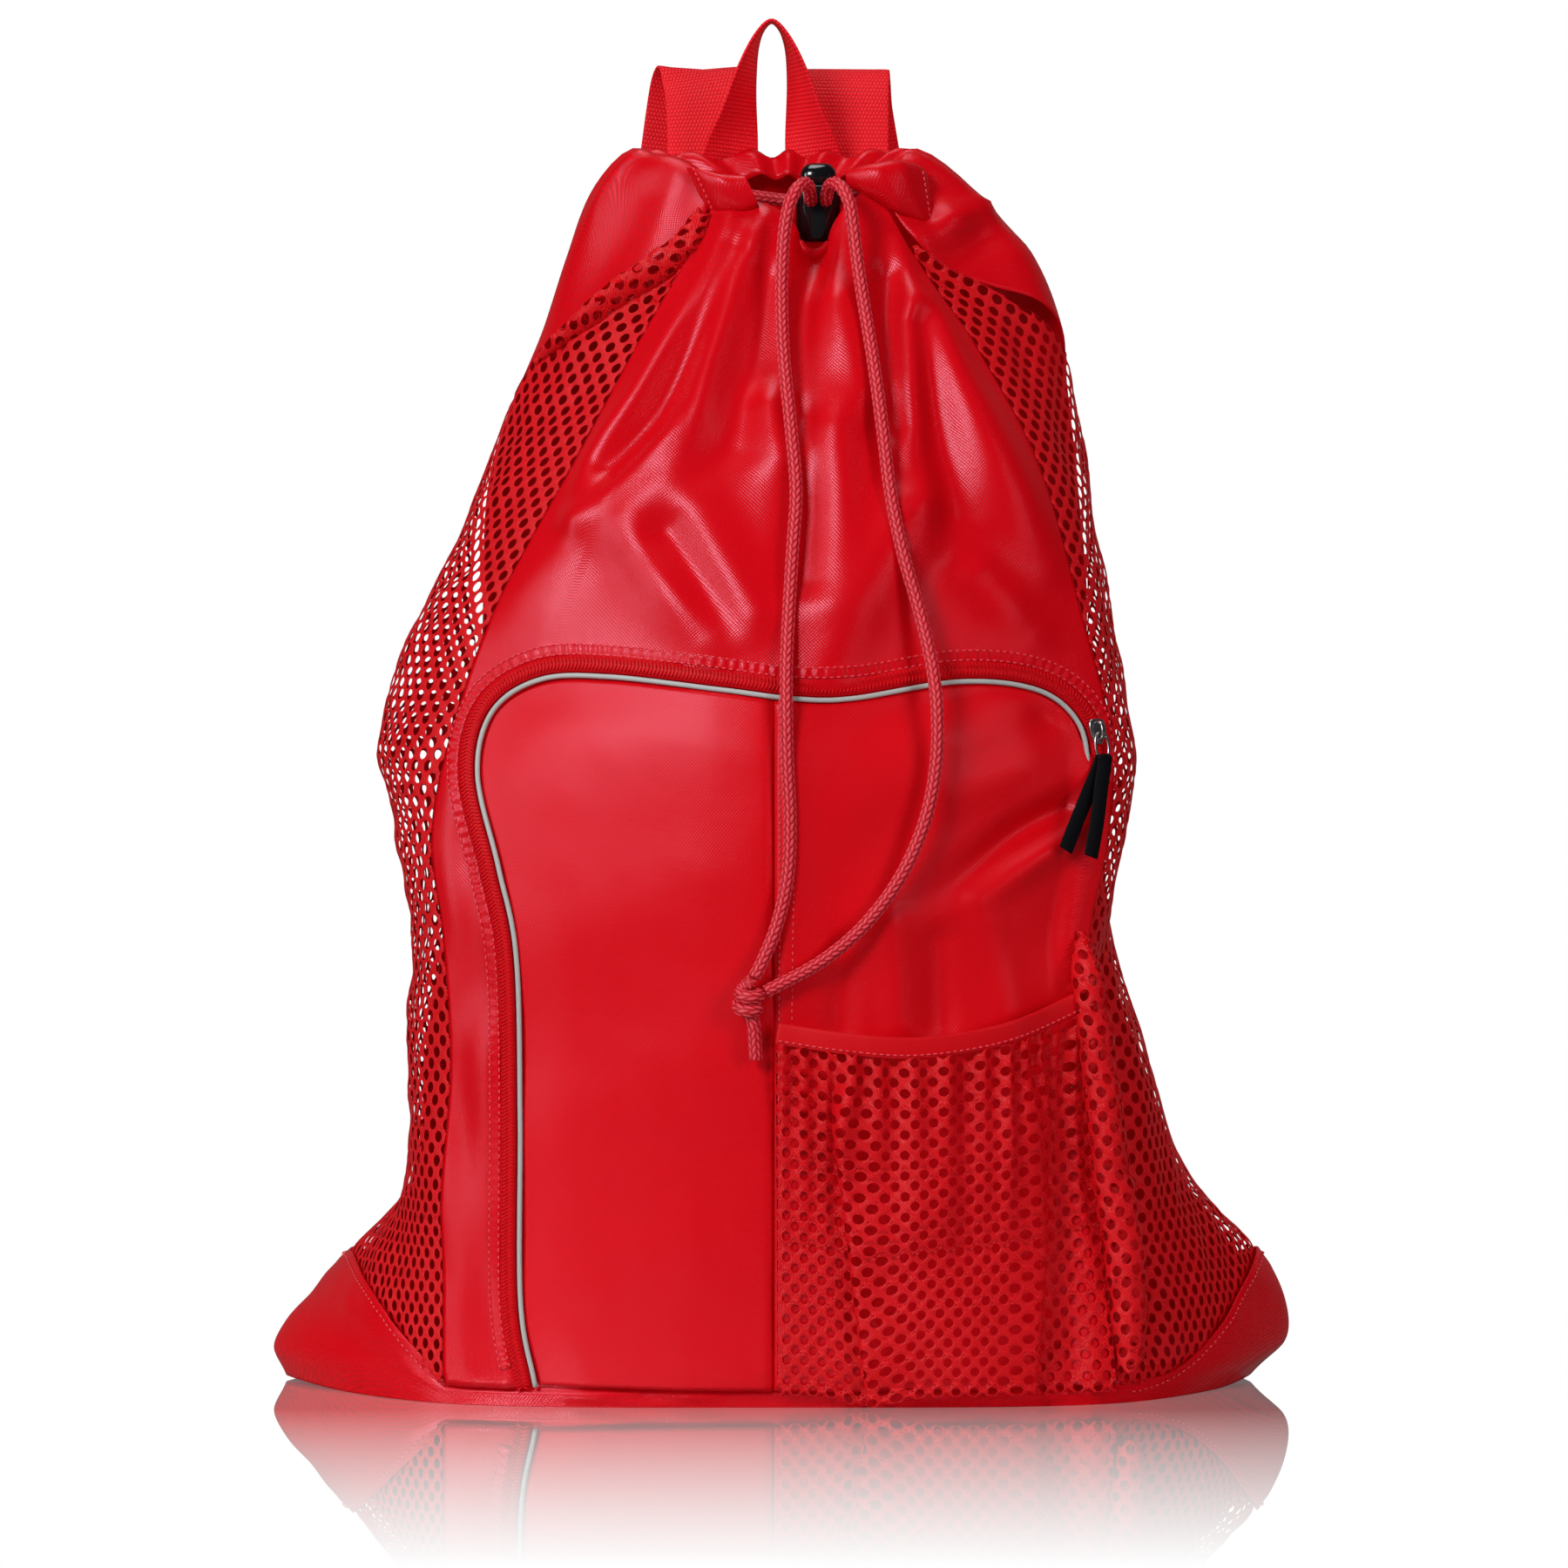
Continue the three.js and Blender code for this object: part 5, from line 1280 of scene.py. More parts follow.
# %% Net on a surface
def net(surface, kept):
    """Points, faces, flat places and rib values of a net on a surface; kept says which cells belong to it."""
    width, height = np.ptp(surface["across"]), surface["up"][-1]
    first = surface["across"].min()
    i, j = np.meshgrid(np.arange(int(width / NET_ACROSS) + 3), np.arange(int(2 * height / NET_UP) + 2))
    middle = np.stack([first + (i + 0.5 * (j % 2)) * NET_ACROSS, (j + 0.5) * NET_UP / 2], axis=-1)
    middle = middle.reshape(-1, 2)
    middle = middle[kept(middle[:, 0], middle[:, 1])]
    outline, hole = cell_outline()
    crest = (middle[:, None] + outline).reshape(-1, 2)
    microns = np.round(crest / (1e-3 * MM)).astype(np.int64)
    _, unique, crest_id = np.unique(microns, axis=0, return_index=True, return_inverse=True)
    crest = crest[unique]
    crest_id = crest_id.reshape(-1, 18)
    count = len(crest)
    rims = (middle[:, None] + hole).reshape(-1, 2)
    rim_id = 2 * count + np.arange(len(rims)).reshape(-1, 18)
    flat = np.vstack([crest, crest, rims])
    rise = np.r_[np.full(count, 0.5), np.full(count, -0.5), np.zeros(len(rims))] * NET_THICK
    point, normal = read_table(surface, flat[:, 0], flat[:, 1], ["points", "normals"])
    next_crest, next_rim = np.roll(crest_id, -1, 1), np.roll(rim_id, -1, 1)
    top = np.stack([crest_id, next_crest, next_rim, rim_id], axis=-1).reshape(-1, 4)
    under = np.stack([rim_id, next_rim, next_crest + count, crest_id + count], axis=-1).reshape(-1, 4)
    sides = np.stack([crest_id, next_crest], axis=-1).reshape(-1, 2)
    _, place, uses = np.unique(np.sort(sides, axis=1), axis=0, return_index=True, return_counts=True)
    border = sides[place[uses == 1]]
    edge = np.stack([border[:, 1], border[:, 0], border[:, 0] + count, border[:, 1] + count], axis=-1)
    faces = np.vstack([top, under, edge])
    rib = np.r_[np.ones(2 * count), np.zeros(len(rims))]
    print("net cells:", len(middle))
    return point + unit(normal) * rise[:, None], faces, flat, {"rib": rib}


def net_piece(name, surface, kept, inside, nodes=()):
    """A net as a piece; the holes' edges are marked sharp, so that the ribs between them look flat."""
    points, faces, flat, values = net(surface, kept)
    piece = make_piece(name, points, faced(points, faces, inside), flat, values)
    pairs = np.empty(2 * len(piece.data.edges), np.int32)
    piece.data.edges.foreach_get("vertices", pairs)
    sharp = (values["rib"][pairs.reshape(-1, 2)] < 0.5).all(axis=1)
    piece.data.attributes.new("sharp_edge", "BOOLEAN", "EDGE").data.foreach_set("value", sharp)
    return dress(piece, net_material, "net", nodes)


print("net ribs:", NET_THICK, "m thick")

# %% [markdown]
# ### The net sides
# Each side runs from the front seam to the back panel and narrows to a tip under the mouth. On the left the
# net is rolled up along the shoulder, and on the right a loose fold of it hangs in front of the zip's end.
# Both rolls are nets on a tube.

# %% Surface of a net side
# h and how far each side sags inwards, left and right
SIDE_DRAWN_IN = [
    np.array([[60, 1], [150, 2], [215, 5], [250, 3], [290, 1], [400, 2]]),
    np.array([[60, 1], [150, 3], [205, 7], [290, 8], [340, 5], [400, 2]]),
]


def way_across(points):
    """The way covered along each row of a grid of points."""
    return np.pad(np.cumsum(np.linalg.norm(np.diff(points, axis=1), axis=-1), axis=1), ((0, 0), (1, 0)))


def side_surface(side):
    """Tables of a net side: rows go up from the floor to the tip, columns from the front seam back."""
    h = np.linspace(RIM_LOW + RIM_GAP, SIDE_TIP, 240)[:, None]
    share = np.linspace(0, 1, 120)[None]
    sign = 1 if side == 0 else -1
    corner = sign * (1 + (back_seam(side, h) - 1) * share)
    rim = rim_height(corner)
    held = np.maximum(h, rim - TUCK)
    normals = normal_of(body_point, corner, held)
    behind = 2.5 * MM * ease(rim + 3 * MM - held, 0, TUCK)
    points = body_point(corner, held) - normals * behind[..., None]
    across = way_across(points) * (1.45 - 0.45 * ease(h, 60 * MM, 120 * MM))
    width = across[:, -1:]
    if side == 1:
        valley = np.exp(-(((across - 26 * MM) / (16 * MM)) ** 2)) * (1 - ease(h, 165 * MM, 210 * MM))
        valley = valley * ease(held - rim, 0, 30 * MM)
        points = points - normals * (12 * MM * valley)[..., None]
    inner = np.sin(np.pi * np.clip(across / np.maximum(width, MM), 0, 1))
    lift = 1.5 * MM * unevenness(across, h + 0 * across, 70 * MM, 31 + side) * inner
    lift += 0.9 * MM * unevenness(across, h + 0 * across, 26 * MM, 33 + side) * inner
    drawn_in = SIDE_DRAWN_IN[side]
    lift -= np.interp(h, drawn_in[:, 0] * MM, drawn_in[:, 1] * MM) * inner
    moved = points + normals * lift[..., None]
    step_up, step_across = np.gradient(moved, axis=0), np.gradient(moved, axis=1)
    turned = np.cross(step_up, step_across) * sign
    size = np.linalg.norm(turned, axis=-1, keepdims=True)
    normals = np.where(size > 1e-10, turned / np.maximum(size, 1e-10), normals)
    up = run_along(body_point(sign * 1.4, h[:, 0]))
    clear = (h - rim + TUCK)[..., None]
    return {"points": moved, "normals": normals, "across": across, "up": up, "clear": clear}


print("a side sags inwards by up to", [int(table[:, 1].max()) for table in SIDE_DRAWN_IN], "mm")


# %% Net sides
def side_net(name, node, side):
    """One net side: cells are kept where their middle is between the seams and above the bottom's edge."""
    surface = side_surface(side)

    def kept(u, v):
        width = np.interp(v, surface["up"], surface["across"][:, -1])
        clear = read_table(surface, u, v, ["clear"])[0][:, 0]
        return (u > -MM) & (u < width + MM) & (clear > 0) & (v < surface["up"][-1])

    return net_piece(name, surface, kept, INSIDE, [node])


net_left = side_net("net_left", "side_mesh_left", 0)
net_right = side_net("net_right", "side_mesh_right", 1)


# %% Rolls of net
def net_roll(name, stations, step):
    """A net on a tube through stations of x, y, z, half width and half depth in millimetres."""
    path, run = even_path(np.array(stations) * MM, step)
    turn = np.linspace(0, 2 * np.pi, 60)
    side = np.tile([1.0, 0.0, 0.4], (len(path), 1))
    round_way, along_way = np.broadcast_arrays(turn[None] * 6 * MM, run[:, None])
    uneven = 1 + 0.10 * unevenness(round_way, along_way, 22 * MM, 36)
    wide, deep = path[:, 3:4] * uneven * np.cos(turn), path[:, 4:] * uneven * np.sin(turn)
    tube = carry(path[:, :3], side, wide, deep)
    normals = unit(tube - path[:, None, :3])
    surface = {"points": tube, "normals": normals, "across": way_across(tube), "up": run}
    widths = surface["across"][:, -1]
    return net_piece(
        name, surface, lambda u, v: (u > 0) & (u < np.interp(v, run, widths)) & (v < run[-1]),
        path[:, :3].mean(axis=0))


h = np.linspace(430, 506, 9) * MM
seam = body_point(back_seam(0, h), h) + normal_of(body_point, back_seam(0, h), h) * 1.6 * MM
seam[:, 0] += np.array([4.5, 2.5, 1, 0, 0, 0, 0, 0, 0]) * MM
fullness = np.array([2.6, 4.6, 6.2, 7.0, 7.2, 6.8, 6.0, 4.8, 3.0]) * MM
shoulder_roll = net_roll("shoulder_roll", np.c_[seam, fullness, 0.6 * fullness] / MM, 2 * MM)
side_roll = net_roll("side_roll", [
    [124, -80, 196, 3, 4], [125.5, -90, 180, 6.5, 6], [129, -92, 154, 7, 7], [134, -91, 110, 7.5, 8],
    [140, -88, 72, 8.5, 8], [143.5, -86, 40, 7.5, 7], [143.5, -84, 14, 5, 5],
], 2 * MM)

# %% [markdown]
# ### The net pocket
# The low pocket is gathered onto an elastic band. It lies flat on the left, stands forward as a pouch in
# the middle and falls back at the right. The gathers are ripples that fade below the band.

# %% The pouch's shape
BAND_LINE = np.array([[-3, 154], [24, 150], [50, 148], [78, 151], [100, 157], [121, 166]]) * MM
POUCH_LEFT_X, POUCH_RIGHT_X = -2.6 * MM, 136 * MM  # the net pocket's low corners
POUCH_WAY = 170 * MM  # of slack net, up to the band
BAND_HEIGHT = 9 * MM
BAND_HALF = 0.9 * MM  # half the band's thickness


def pleats(v):
    """Where the two pleats lie, as shares of the way across: they lean in towards the floor."""
    return 0.16 + 0.14 * (1 - v), 0.81 - 0.08 * (1 - v)


def pouch_lift(u, v, gathered=1.0):
    """How far the net stands off the pocket: a pouch between two pleats, with gathers under the band."""
    left, right = pleats(v)
    pouch = ease(u, left - 0.02, left + 0.02) * (1 - ease(u, right - 0.01, right + 0.03))
    puff = (9 + 5 * np.sin(np.pi * np.clip((u - 0.15) / 0.66, 0, 1))) * MM * (0.55 + 0.45 * ease(v, 0, 0.55))
    flat_part = 1.4 * MM + 3 * MM * ease(v, 0.5, 1) * ease(u, 0, 0.15)
    gather = np.sin(2 * np.pi * 13 * u + 3 * np.sin(7 * u))
    gather = gather * (0.7 * ease(v, 0.3, 0.7) + 1.5 * ease(v, 0.66, 0.96)) * MM
    gather += 1.8 * MM * np.cos(2 * np.pi * 4.2 * u + 1) * ease(v, 0.2, 0.8) * pouch
    held = ease(v, 0, 0.06)
    near_band = ease(v, 0.75, 1)
    puffed = pouch * (1 - 0.75 * near_band) + 0.5 * near_band
    return flat_part + puff * puffed + gather * gathered * held


def pouch_places(u, v):
    """Places of the net pocket seen from the front, from the floor to the band, with its pleats lapping."""
    top = through(np.linspace(0, 1, len(BAND_LINE)), BAND_LINE, u)
    low_x = POUCH_LEFT_X + (POUCH_RIGHT_X - POUCH_LEFT_X) * u
    low = np.stack([low_x, np.full_like(u, RIM_LOW - 1 * MM)], axis=-1)
    places = low + (top - low) * v[..., None]
    left, right = pleats(v)
    lap = ease(u, right - 0.1, right) * (1 - ease(u, right, right + 0.04))
    lap -= ease(u, left - 0.03, left + 0.01) * (1 - ease(u, left + 0.01, left + 0.12))
    places[..., 0] += 5 * MM * lap * (1 - ease(v, 0.75, 0.95))
    places[..., 1] -= 6 * MM * np.exp(-(((u - 0.28) / 0.10) ** 2)) * (1 - v)
    return places


print("pleats at the floor and at the band:", pleats(0.0), pleats(1.0))

# %% Net pocket
u, v = np.meshgrid(np.linspace(0, 1, 150), np.linspace(0, 1, 120))
places = pouch_places(u, v)
point, normal = front_at(places[..., 0], np.maximum(places[..., 1], 2 * MM))
lift = pouch_lift(u, v) + right_lift(places[..., 0], places[..., 1])
pouch = point + normal * lift[..., None]
pouch[..., 2] = np.maximum(places[..., 1], 1.5 * MM)
turned = unit(np.cross(np.gradient(pouch, axis=1), np.gradient(pouch, axis=0)))
pouch_width = 19 * NET_ACROSS
pouch_surface = {
    "points": pouch, "normals": turned, "across": u * pouch_width, "up": np.linspace(0, POUCH_WAY, 120),
}
net_pocket = net_piece(
    "net_pocket", pouch_surface, lambda a, b: (a > -MM) & (a < pouch_width + MM) & (b < POUCH_WAY),
    np.array([0.06, 0.0, 0.08]), ["mesh_pocket"])

# %% Elastic band
band_material, tree, shader = new_material("elastic band")
fill_inputs(tree, shader, {
    "Base Color": (0.62, 0.001, 0.006, 1.0), "Roughness": 0.55, "Specular IOR Level": 0.2,
    "Normal": bump(tree, grain(tree, 700.0), 0.3 * MM, 0.25),
})

share = np.linspace(0, 1, 120)
seen = through(np.linspace(0, 1, len(BAND_LINE)), BAND_LINE, share)
point, normal = front_at(seen[:, 0], seen[:, 1])
lift = pouch_lift(share, np.ones_like(share), 0.0) + right_lift(seen[:, 0], seen[:, 1]) + 0.6 * MM
lift = np.convolve(np.pad(lift, 12, mode="edge"), np.ones(25) / 25, mode="valid")
band_path = point + normal * lift[:, None]
band_path[:, 2] += BAND_HEIGHT / 2 - 0.5 * MM
profile = all_round(16)[None]
tall = squarish(profile, 0.5)[0] * BAND_HEIGHT / 2
deep = squarish(profile, 0.7)[1] * BAND_HALF
band = make_piece("pocket_band", *closed_skin(carry(band_path, np.tile(UP, (120, 1)), tall, deep)))
dress(band, band_material, "tape", ["mesh_pocket_band"])

# %% [markdown]
# ## Webbing
# The hang loop and the shoulder straps are flat woven webbing. A flat profile with round edges is carried
# along each path; the hang loop turns as it rises, so it is edge-on at its top. The ribs of the weave are a
# group that draws rows of short dashes.

# %% Webbing group and material
RIB_PITCH = 1.75 * MM  # from rib to rib along the webbing
DASH_PITCH = 1.5 * MM  # from dash to dash in a rib

webbing, ends_in, ends_out = new_group("webbing", [("Place", PLACE)], [("Height", NUMBER)])
apart = add_node(webbing, "ShaderNodeSeparateXYZ", {0: ends_in.outputs["Place"]})
rows_in = maths(webbing, "DIVIDE", apart.outputs["Y"], RIB_PITCH)
row = maths(webbing, "FLOOR", rows_in)
within = maths(webbing, "SUBTRACT", rows_in, row)
round_row = maths(webbing, "SINE", maths(webbing, "MULTIPLY", within, np.pi))
shift = maths(webbing, "MULTIPLY", row, 0.5)
dashes = maths(webbing, "ADD", maths(webbing, "DIVIDE", apart.outputs["X"], DASH_PITCH), shift)
dash = maths(webbing, "ABSOLUTE", maths(webbing, "SINE", maths(webbing, "MULTIPLY", dashes, np.pi)))
weave = maths(webbing, "MULTIPLY", round_row, maths(webbing, "POWER", dash, 0.6))
webbing.links.new(weave, ends_out.inputs["Height"])

webbing_material, tree, shader = new_material("webbing")
flat = add_node(tree, "ShaderNodeUVMap", uv_map="flat").outputs["UV"]
weave = add_node(tree, "ShaderNodeGroup", {"Place": flat}, node_tree=webbing).outputs["Height"]
fill_inputs(tree, shader, {
    "Base Color": blend_colour(tree, weave, (0.6, 0.002, 0.008), (0.9, 0.015, 0.03)),
    "Normal": bump(tree, weave, 0.4 * MM, 0.7),
    "Roughness": 0.5,
    "Specular IOR Level": 0.2,
})
# painted glow: a faint red emission lifts the webbing's shadows
add_painted_glow(shader, 0.07)
print("group:", webbing.name)

# %% Hang loop and straps
HANG_LOOP = np.array([
    [-24.1, 46.6, 494, 0], [-24, 45.4, 515, 8], [-19.5, 42, 541, 52], [-15.2, 41, 562, 74],
    [-10.5, 41, 575, 86], [-5.3, 41, 580, 90], [-0.1, 41, 575, 94], [4.7, 41, 562, 106],
    [8.7, 42, 541, 128], [13.4, 45.4, 515, 172], [13.5, 46.6, 494, 180],
])
# shares of the left and the right strap's way out to its bottom corner, y and z
STRAP = np.array([
    [0, 0, 49.8, 492], [0, 0, 50.2, 515], [0.005, 0, 55.5, 538], [0.02, 0.003, 61, 553],
    [0.05, 0.006, 69, 560], [0.085, 0.012, 77, 555], [0.115, 0.025, 82, 541], [0.2, 0.13, 90, 490],
    [0.4, 0.36, 107, 400], [0.62, 0.6, 117, 280], [0.84, 0.83, 111, 150], [0.96, 0.96, 95, 50],
    [1, 1, 84.4, 12],
])


def web(name, node, path, run, side, width, thickness):
    """Webbing: a flat profile with round edges, its flat place being the way across and the way along."""
    wide, thick = squarish(all_round(32)[None], 0.35)
    across, out = wide * width / 2, thick * thickness / 2
    points, faces = closed_skin(carry(path, side, across, out))
    flat = np.stack(np.broadcast_arrays(across, run[:, None]), axis=-1).reshape(-1, 2)
    flat = np.vstack([flat, [[0, run[0]], [0, run[-1]]]])
    return dress(make_piece(name, points, faces, flat), webbing_material, "webbing", [node])


path, run = even_path(np.c_[HANG_LOOP[:, :3] * MM, np.radians(HANG_LOOP[:, 3])], 1.2 * MM)
side = np.stack([np.cos(path[:, 3]), np.sin(path[:, 3]), 0 * run], axis=1)
web("hang_web", "hang_loop", path[:, :3], run, side, 25 * MM, 1.6 * MM)
for k, (word, top, bottom) in enumerate((("left", -31, -117), ("right", 26, 117))):
    stations = np.c_[top + (bottom - top) * STRAP[:, k], STRAP[:, 2:]] * MM
    path, run = even_path(stations, 2.6 * MM)
    side = np.tile(RIGHT, (len(path), 1))
    web(f"strap_{word}", f"shoulder_strap_{word}", path, run, side, 38 * MM, 1.8 * MM)

# %% [markdown]
# ## The cord lock
# The lock is a black plastic barrel with a domed button on a spring; pressing the button frees the cord.
# Both are upright blocks with an oval plan, so one function makes them from a list of heights and sizes.
# The button rides on its own body, because the CAD lets it move.

# %% Cord lock
plastic, tree, shader = new_material("black plastic")
fill_inputs(tree, shader, {"Base Color": (0.004, 0.004, 0.005, 1.0), "Roughness": 0.16, "Coat Weight": 0.4})
LOCK_AT = np.array([14.5, -4.0]) * MM


def oval_block(name, levels, width, depth):
    """An upright block: each level is a height in millimetres and how far the oval plan is drawn in there."""
    x, y = squarish(all_round(64), 0.8)
    levels = np.array(levels)
    half = np.array([width, depth]) / 2 - levels[:, 1:]
    rings = np.stack([half[:, :1] * x, half[:, 1:] * y, levels[:, :1] * np.ones(64)], axis=-1) * MM
    rings[..., :2] += LOCK_AT
    return make_piece(name, *closed_skin(rings))


lock_body = oval_block("lock_barrel", [
    [484.5, 2.5], [484.6, 1.2], [485.1, 0.4], [485.9, 0], [507.2, 0], [508.0, 0.25], [508.4, 0.7],
    [508.5, 1.3], [508.0, 1.7], [504.0, 1.7], [503.5, 4.0],
], 19, 14.5)
dress(lock_body, plastic, "black_plastic", ["cord_lock_body"])
dome = np.linspace(0, np.pi / 2, 10)
button_levels = [[508.0, 5.0], [508.1, 0.0], [512.5, 0.0]]
button_levels += [[512.5 + 5.5 * np.sin(a), 5.4 * (1 - np.cos(a))] for a in dome[1:]]
lock_button = oval_block("lock_button", button_levels, 15.4, 10.9)
dress(lock_button, plastic, "black_plastic", ["cord_lock_button"], body="button")

# %% [markdown]
# ## Stitches
# Rows of stitches hold the panels together. Each stitch is a small lump of thread, and all the stitches of
# the bag are one mesh. A row is worked out from a line of points on the cloth and the cloth's normals
# there.

# %% Thread and rows of stitches
thread, tree, shader = new_material("thread")
fill_inputs(tree, shader, {"Base Color": (0.8, 0.055, 0.08, 1.0), "Roughness": 0.4})
STITCH = np.array([0.36, 1.05, 0.42]) * MM  # half sizes of a stitch: across, along and out


def read_line(line, run, at):
    """The values of a line's columns at the given ways along it."""
    return np.stack([np.interp(at, run, column) for column in line.T], axis=1)


def stitch_row(path, normal, pitch):
    """Stitches at an even pitch along a line on the cloth, each lying along the line."""
    run = run_along(path)
    at = np.arange(pitch / 2, run[-1], pitch)
    out = unit(read_line(normal, run, at))
    along = unit(read_line(path, run, at + 0.2 * MM) - read_line(path, run, at - 0.2 * MM))
    centre = read_line(path, run, at) + out * 0.15 * MM
    return beads(centre, np.cross(along, out), along, out, STITCH)


def on_grid(grid, rows, columns):
    """A line over a grid of points, at fractional rows and columns, with the grid's outward normals there."""
    normal = np.cross(np.gradient(grid, axis=1), np.gradient(grid, axis=0))
    normal = unit(normal * np.sign(np.sum(normal * (grid - INSIDE))))
    i = np.minimum(rows.astype(int), grid.shape[0] - 2)
    j = np.minimum(columns.astype(int), grid.shape[1] - 2)
    f, g = (rows - i)[:, None], (columns - j)[:, None]

    def read(table):
        below = table[i, j] * (1 - g) + table[i, j + 1] * g
        above = table[i + 1, j] * (1 - g) + table[i + 1, j + 1] * g
        return below * (1 - f) + above * f

    return read(grid), unit(read(normal))


print("material:", thread.name)

# %% Stitches
rows_of_stitches = []
for grid, line, columns in (
    (facing_grid, np.linspace(0, 719, 1500), (1.1, 6.9)),
    (pocket_right_grid, np.linspace(55, 149, 300), (1.2, 5.0)),
):
    for column in columns:
        rows_of_stitches.append(stitch_row(*on_grid(grid, line, np.full(len(line), column)), 3.0 * MM))
for first_corner in (1.08, 5.08):
    ears = np.linspace(first_corner, first_corner + 1.84, 240)
    rim = rim_height(ears)
    share = FLOOR_SHARE + (1 - FLOOR_SHARE) * (rim - 2.6 * MM) / (rim + hidden_edge(ears))
    out = normal_of(body_point, ears, rim * 0.9)
    rows_of_stitches.append(stitch_row(bottom_face(ears, share) + out * 0.3 * MM, out, 3.2 * MM))
for hem, ring in ((hem_left, 5), (hem_right, -5)):
    edge = hem[ring, 3:22]
    rows_of_stitches.append(stitch_row(edge, np.tile(FORWARD, (len(edge), 1)), 2.6 * MM))
low_edge = band_path - np.array([0, 0, BAND_HEIGHT / 2 - 1.6 * MM])
rows_of_stitches.append(stitch_row(low_edge + normal * 0.95 * MM, normal, 2.8 * MM))
stitches = make_piece("stitches", *join_parts(rows_of_stitches))
dress(stitches, thread, "nylon")

# %% [markdown]
# ## The studio
# The photograph is lit softly from the upper left against pure white, and the floor gives back a faint
# mirror image that fades towards the viewer. The white comes from a glowing wall and floor, which the
# camera sees at full strength and the bag at less, so that its colours stay deep. The light on the bag
# comes from large soft lamps.

# %% White light
FLOOR_GLOW = 0.11  # how strongly the white floor and wall light the bag, where 1 is white
MIRROR_SHARE, MIRROR_MOST = 1.08, 0.9  # how much the floor would mirror under the bag's middle, and its limit
MIRROR_REACH = 0.565  # metres from the bag's middle where the mirror image has faded


def full_if_seen(tree, dim, bounces=1):
    """A strength of 1 for the camera and its first mirror image, and a dim one for the rest of the scene.

    A surface is seen in the first mirror after one bounce; the world's shader counts one more.
    """
    rays = add_node(tree, "ShaderNodeLightPath")
    first_mirror = maths(tree, "LESS_THAN", rays.outputs["Ray Depth"], bounces + 0.5)
    mirrored = maths(tree, "MULTIPLY", rays.outputs["Is Singular Ray"], first_mirror)
    seen = maths(tree, "MAXIMUM", rays.outputs["Is Camera Ray"], mirrored)
    return maths(tree, "MULTIPLY_ADD", seen, 1.0 - dim, dim)


def glow(tree):
    """White light from the studio's floor and wall."""
    inputs = {"Color": (1, 1, 1, 1), "Strength": full_if_seen(tree, FLOOR_GLOW)}
    return add_node(tree, "ShaderNodeEmission", inputs).outputs[0]


print("floor and wall light the bag with", FLOOR_GLOW, "of their white")


# %% Floor and wall
def stage_plane(name, corners):
    """A flat piece of the studio, with an empty material tree that ends in an output."""
    mesh = bpy.data.meshes.new(name)
    mesh.from_pydata(corners, [], [(0, 1, 2, 3)])
    plane = bpy.data.objects.new(name, mesh)
    bpy.context.scene.collection.objects.link(plane)
    material = bpy.data.materials.new(name)
    material.use_nodes = True
    material.node_tree.nodes.clear()
    mesh.materials.append(material)
    return material.node_tree, add_node(material.node_tree, "ShaderNodeOutputMaterial")


tree, result = stage_plane("white_wall", [(-9, 5, -5), (9, 5, -5), (9, 5, 9), (-9, 5, 9)])
tree.links.new(glow(tree), result.inputs["Surface"])

tree, result = stage_plane("pale_floor", [(-9, -9, 0), (9, -9, 0), (9, 5, 0), (-9, 5, 0)])
spot = add_node(tree, "ShaderNodeTexCoord").outputs["Object"]
away = maths(tree, "ABSOLUTE", add_node(tree, "ShaderNodeSeparateXYZ", {0: spot}).outputs["Y"])
near = clamped(tree, maths(tree, "MULTIPLY_ADD", away, -1 / MIRROR_REACH, 1.0))
mirror = add_node(tree, "ShaderNodeBsdfGlossy", {"Color": (1, 1, 1, 1), "Roughness": 0.0})
share = maths(tree, "MINIMUM", maths(tree, "MULTIPLY", near, MIRROR_SHARE), MIRROR_MOST)
mixed = add_node(tree, "ShaderNodeMixShader", {0: share, 1: glow(tree), 2: mirror.outputs[0]})
tree.links.new(mixed.outputs[0], result.inputs["Surface"])
print("mirror image fades out at", MIRROR_REACH, "m")


# %% Lamps and world
def soft_light(name, place, aim, size, power):
    """An area light at a place, turned towards an aim."""
    light = bpy.data.objects.new(name, bpy.data.lights.new(name, "AREA"))
    light.data.shape = "RECTANGLE"
    light.data.size, light.data.size_y = size
    light.data.energy = power
    light.location = place
    away = unit(np.array(place) - np.array(aim))
    light.rotation_euler = (np.arccos(away[2]), 0.0, np.arctan2(away[0], -away[1]))
    bpy.context.scene.collection.objects.link(light)
    print(name, power, "W")
    return light


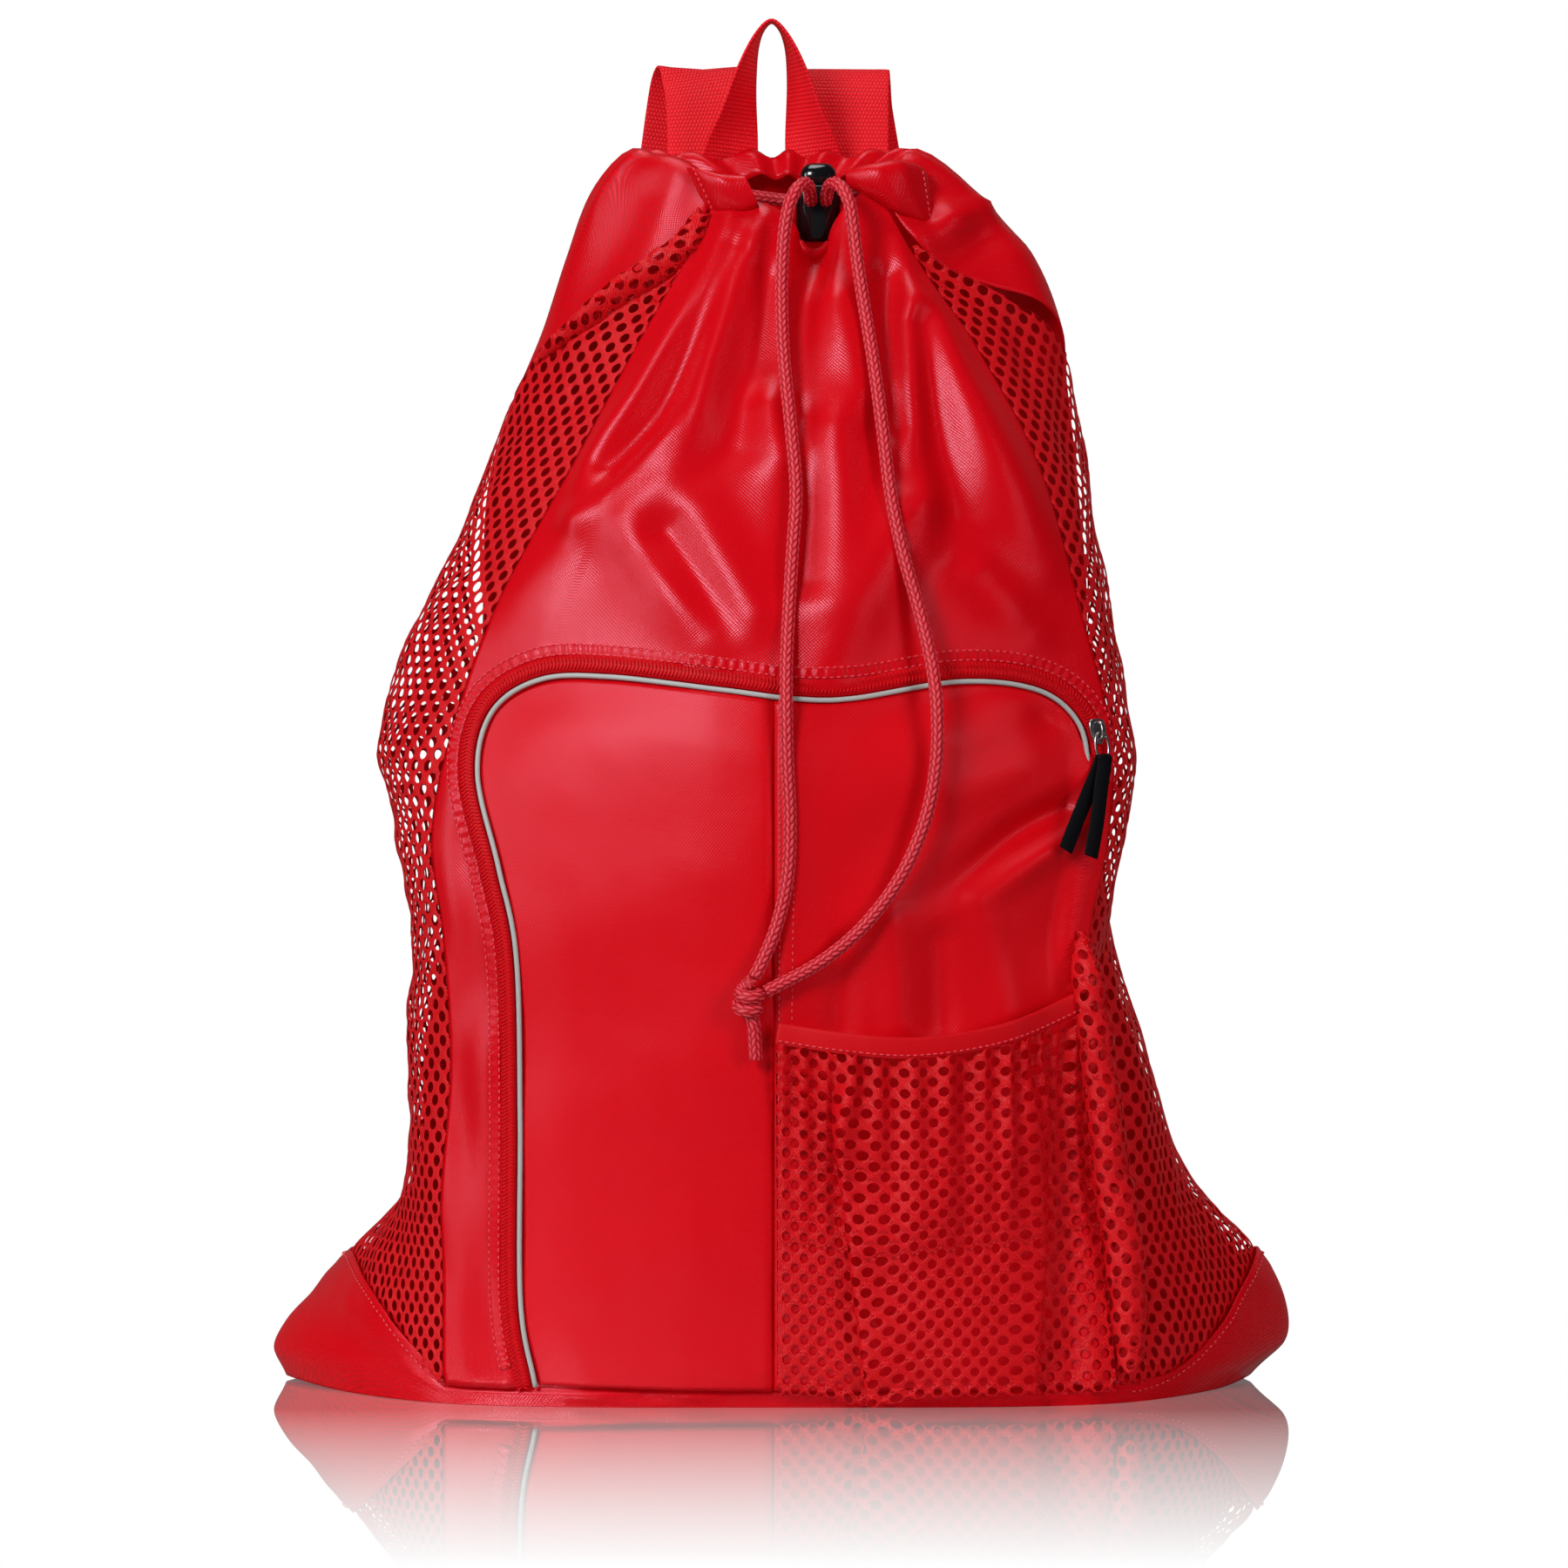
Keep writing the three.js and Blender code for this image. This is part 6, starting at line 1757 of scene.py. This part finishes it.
soft_light("key", (-1.5, -2.4, 1.75), (0, 0, 0.25), (0.95, 0.95), 58)
fill = soft_light("fill", (1.9, -2.2, 1.0), (0, 0, 0.25), (1.0, 1.6), 32)
fill.visible_glossy = False
soft_light("side", (-2.4, -1.3, 0.9), (0, 0, 0.2), (0.8, 1.4), 18)
soft_light("top", (-0.2, 0.1, 2.0), (0, 0, 0.3), (1.0, 0.7), 9)
behind = soft_light("behind", (0.9, 2.7, 1.5), (0, 0, 0.25), (1.2, 1.2), 40)
behind.visible_glossy = False
WORLD_GLOW = 0.03  # how strongly the room beyond the floor lights the bag
world = bpy.data.worlds.new("dim studio")
bpy.context.scene.world = world
world.use_nodes = True
background = world.node_tree.nodes["Background"]
background.inputs["Color"].default_value = (1.0, 1.0, 1.0, 1.0)
world.node_tree.links.new(full_if_seen(world.node_tree, WORLD_GLOW, 2), background.inputs["Strength"])
bpy.context.scene.view_settings.view_transform = "Standard"

# %% [markdown]
# ## Cloth as it was cut
# The last step says what each cloth panel was before it was sewn: the size it was cut to. The areas come
# from the grids themselves, since sewing and folding hardly stretch cloth.


# %% Sheets
def mesh_area(piece, layers):
    """The area of a piece's faces, divided among its layers."""
    areas = np.empty(len(piece.data.polygons), np.float32)
    piece.data.polygons.foreach_get("area", areas)
    return float(areas.sum()) / layers


for piece, grid, held, sewn_on in (
    (front_panel, front_grid, "gathered", [facing]), (back_panel, back_grid, "gathered", []),
    (pocket_left, pocket_left_grid, "stretched", []), (pocket_right, pocket_right_grid, "stretched", []),
):
    up = np.linalg.norm(np.diff(grid, axis=0), axis=-1).sum(axis=0).max()
    across = np.linalg.norm(np.diff(grid, axis=1), axis=-1).sum(axis=1).max()
    area = cloth_area(grid)
    print(f"{piece.name}: cut to {across:.3f} by {up:.3f} m, {area:.4f} square metres")
for piece, layers, held, sewn_on in (
    (bottom_panel, 1, "stretched", []), (net_left, 2, "gathered", [shoulder_roll]),
    (net_right, 2, "gathered", [side_roll]), (net_pocket, 2, "gathered", [band]),
):
    flat = np.empty(2 * len(piece.data.loops), np.float32)
    piece.data.uv_layers["flat"].data.foreach_get("uv", flat)
    across, up = (float(side) for side in np.ptp(flat.reshape(-1, 2), axis=0))
    if piece is bottom_panel:
        across, up = (np.ptp(outer[:, :2], axis=0) + 2 * np.array([RIM_EAR, RIM_LOW])).tolist()
    area = mesh_area(piece, layers)
    print(f"{piece.name}: cut to {across:.3f} by {up:.3f} m, {area:.4f} square metres without its holes")
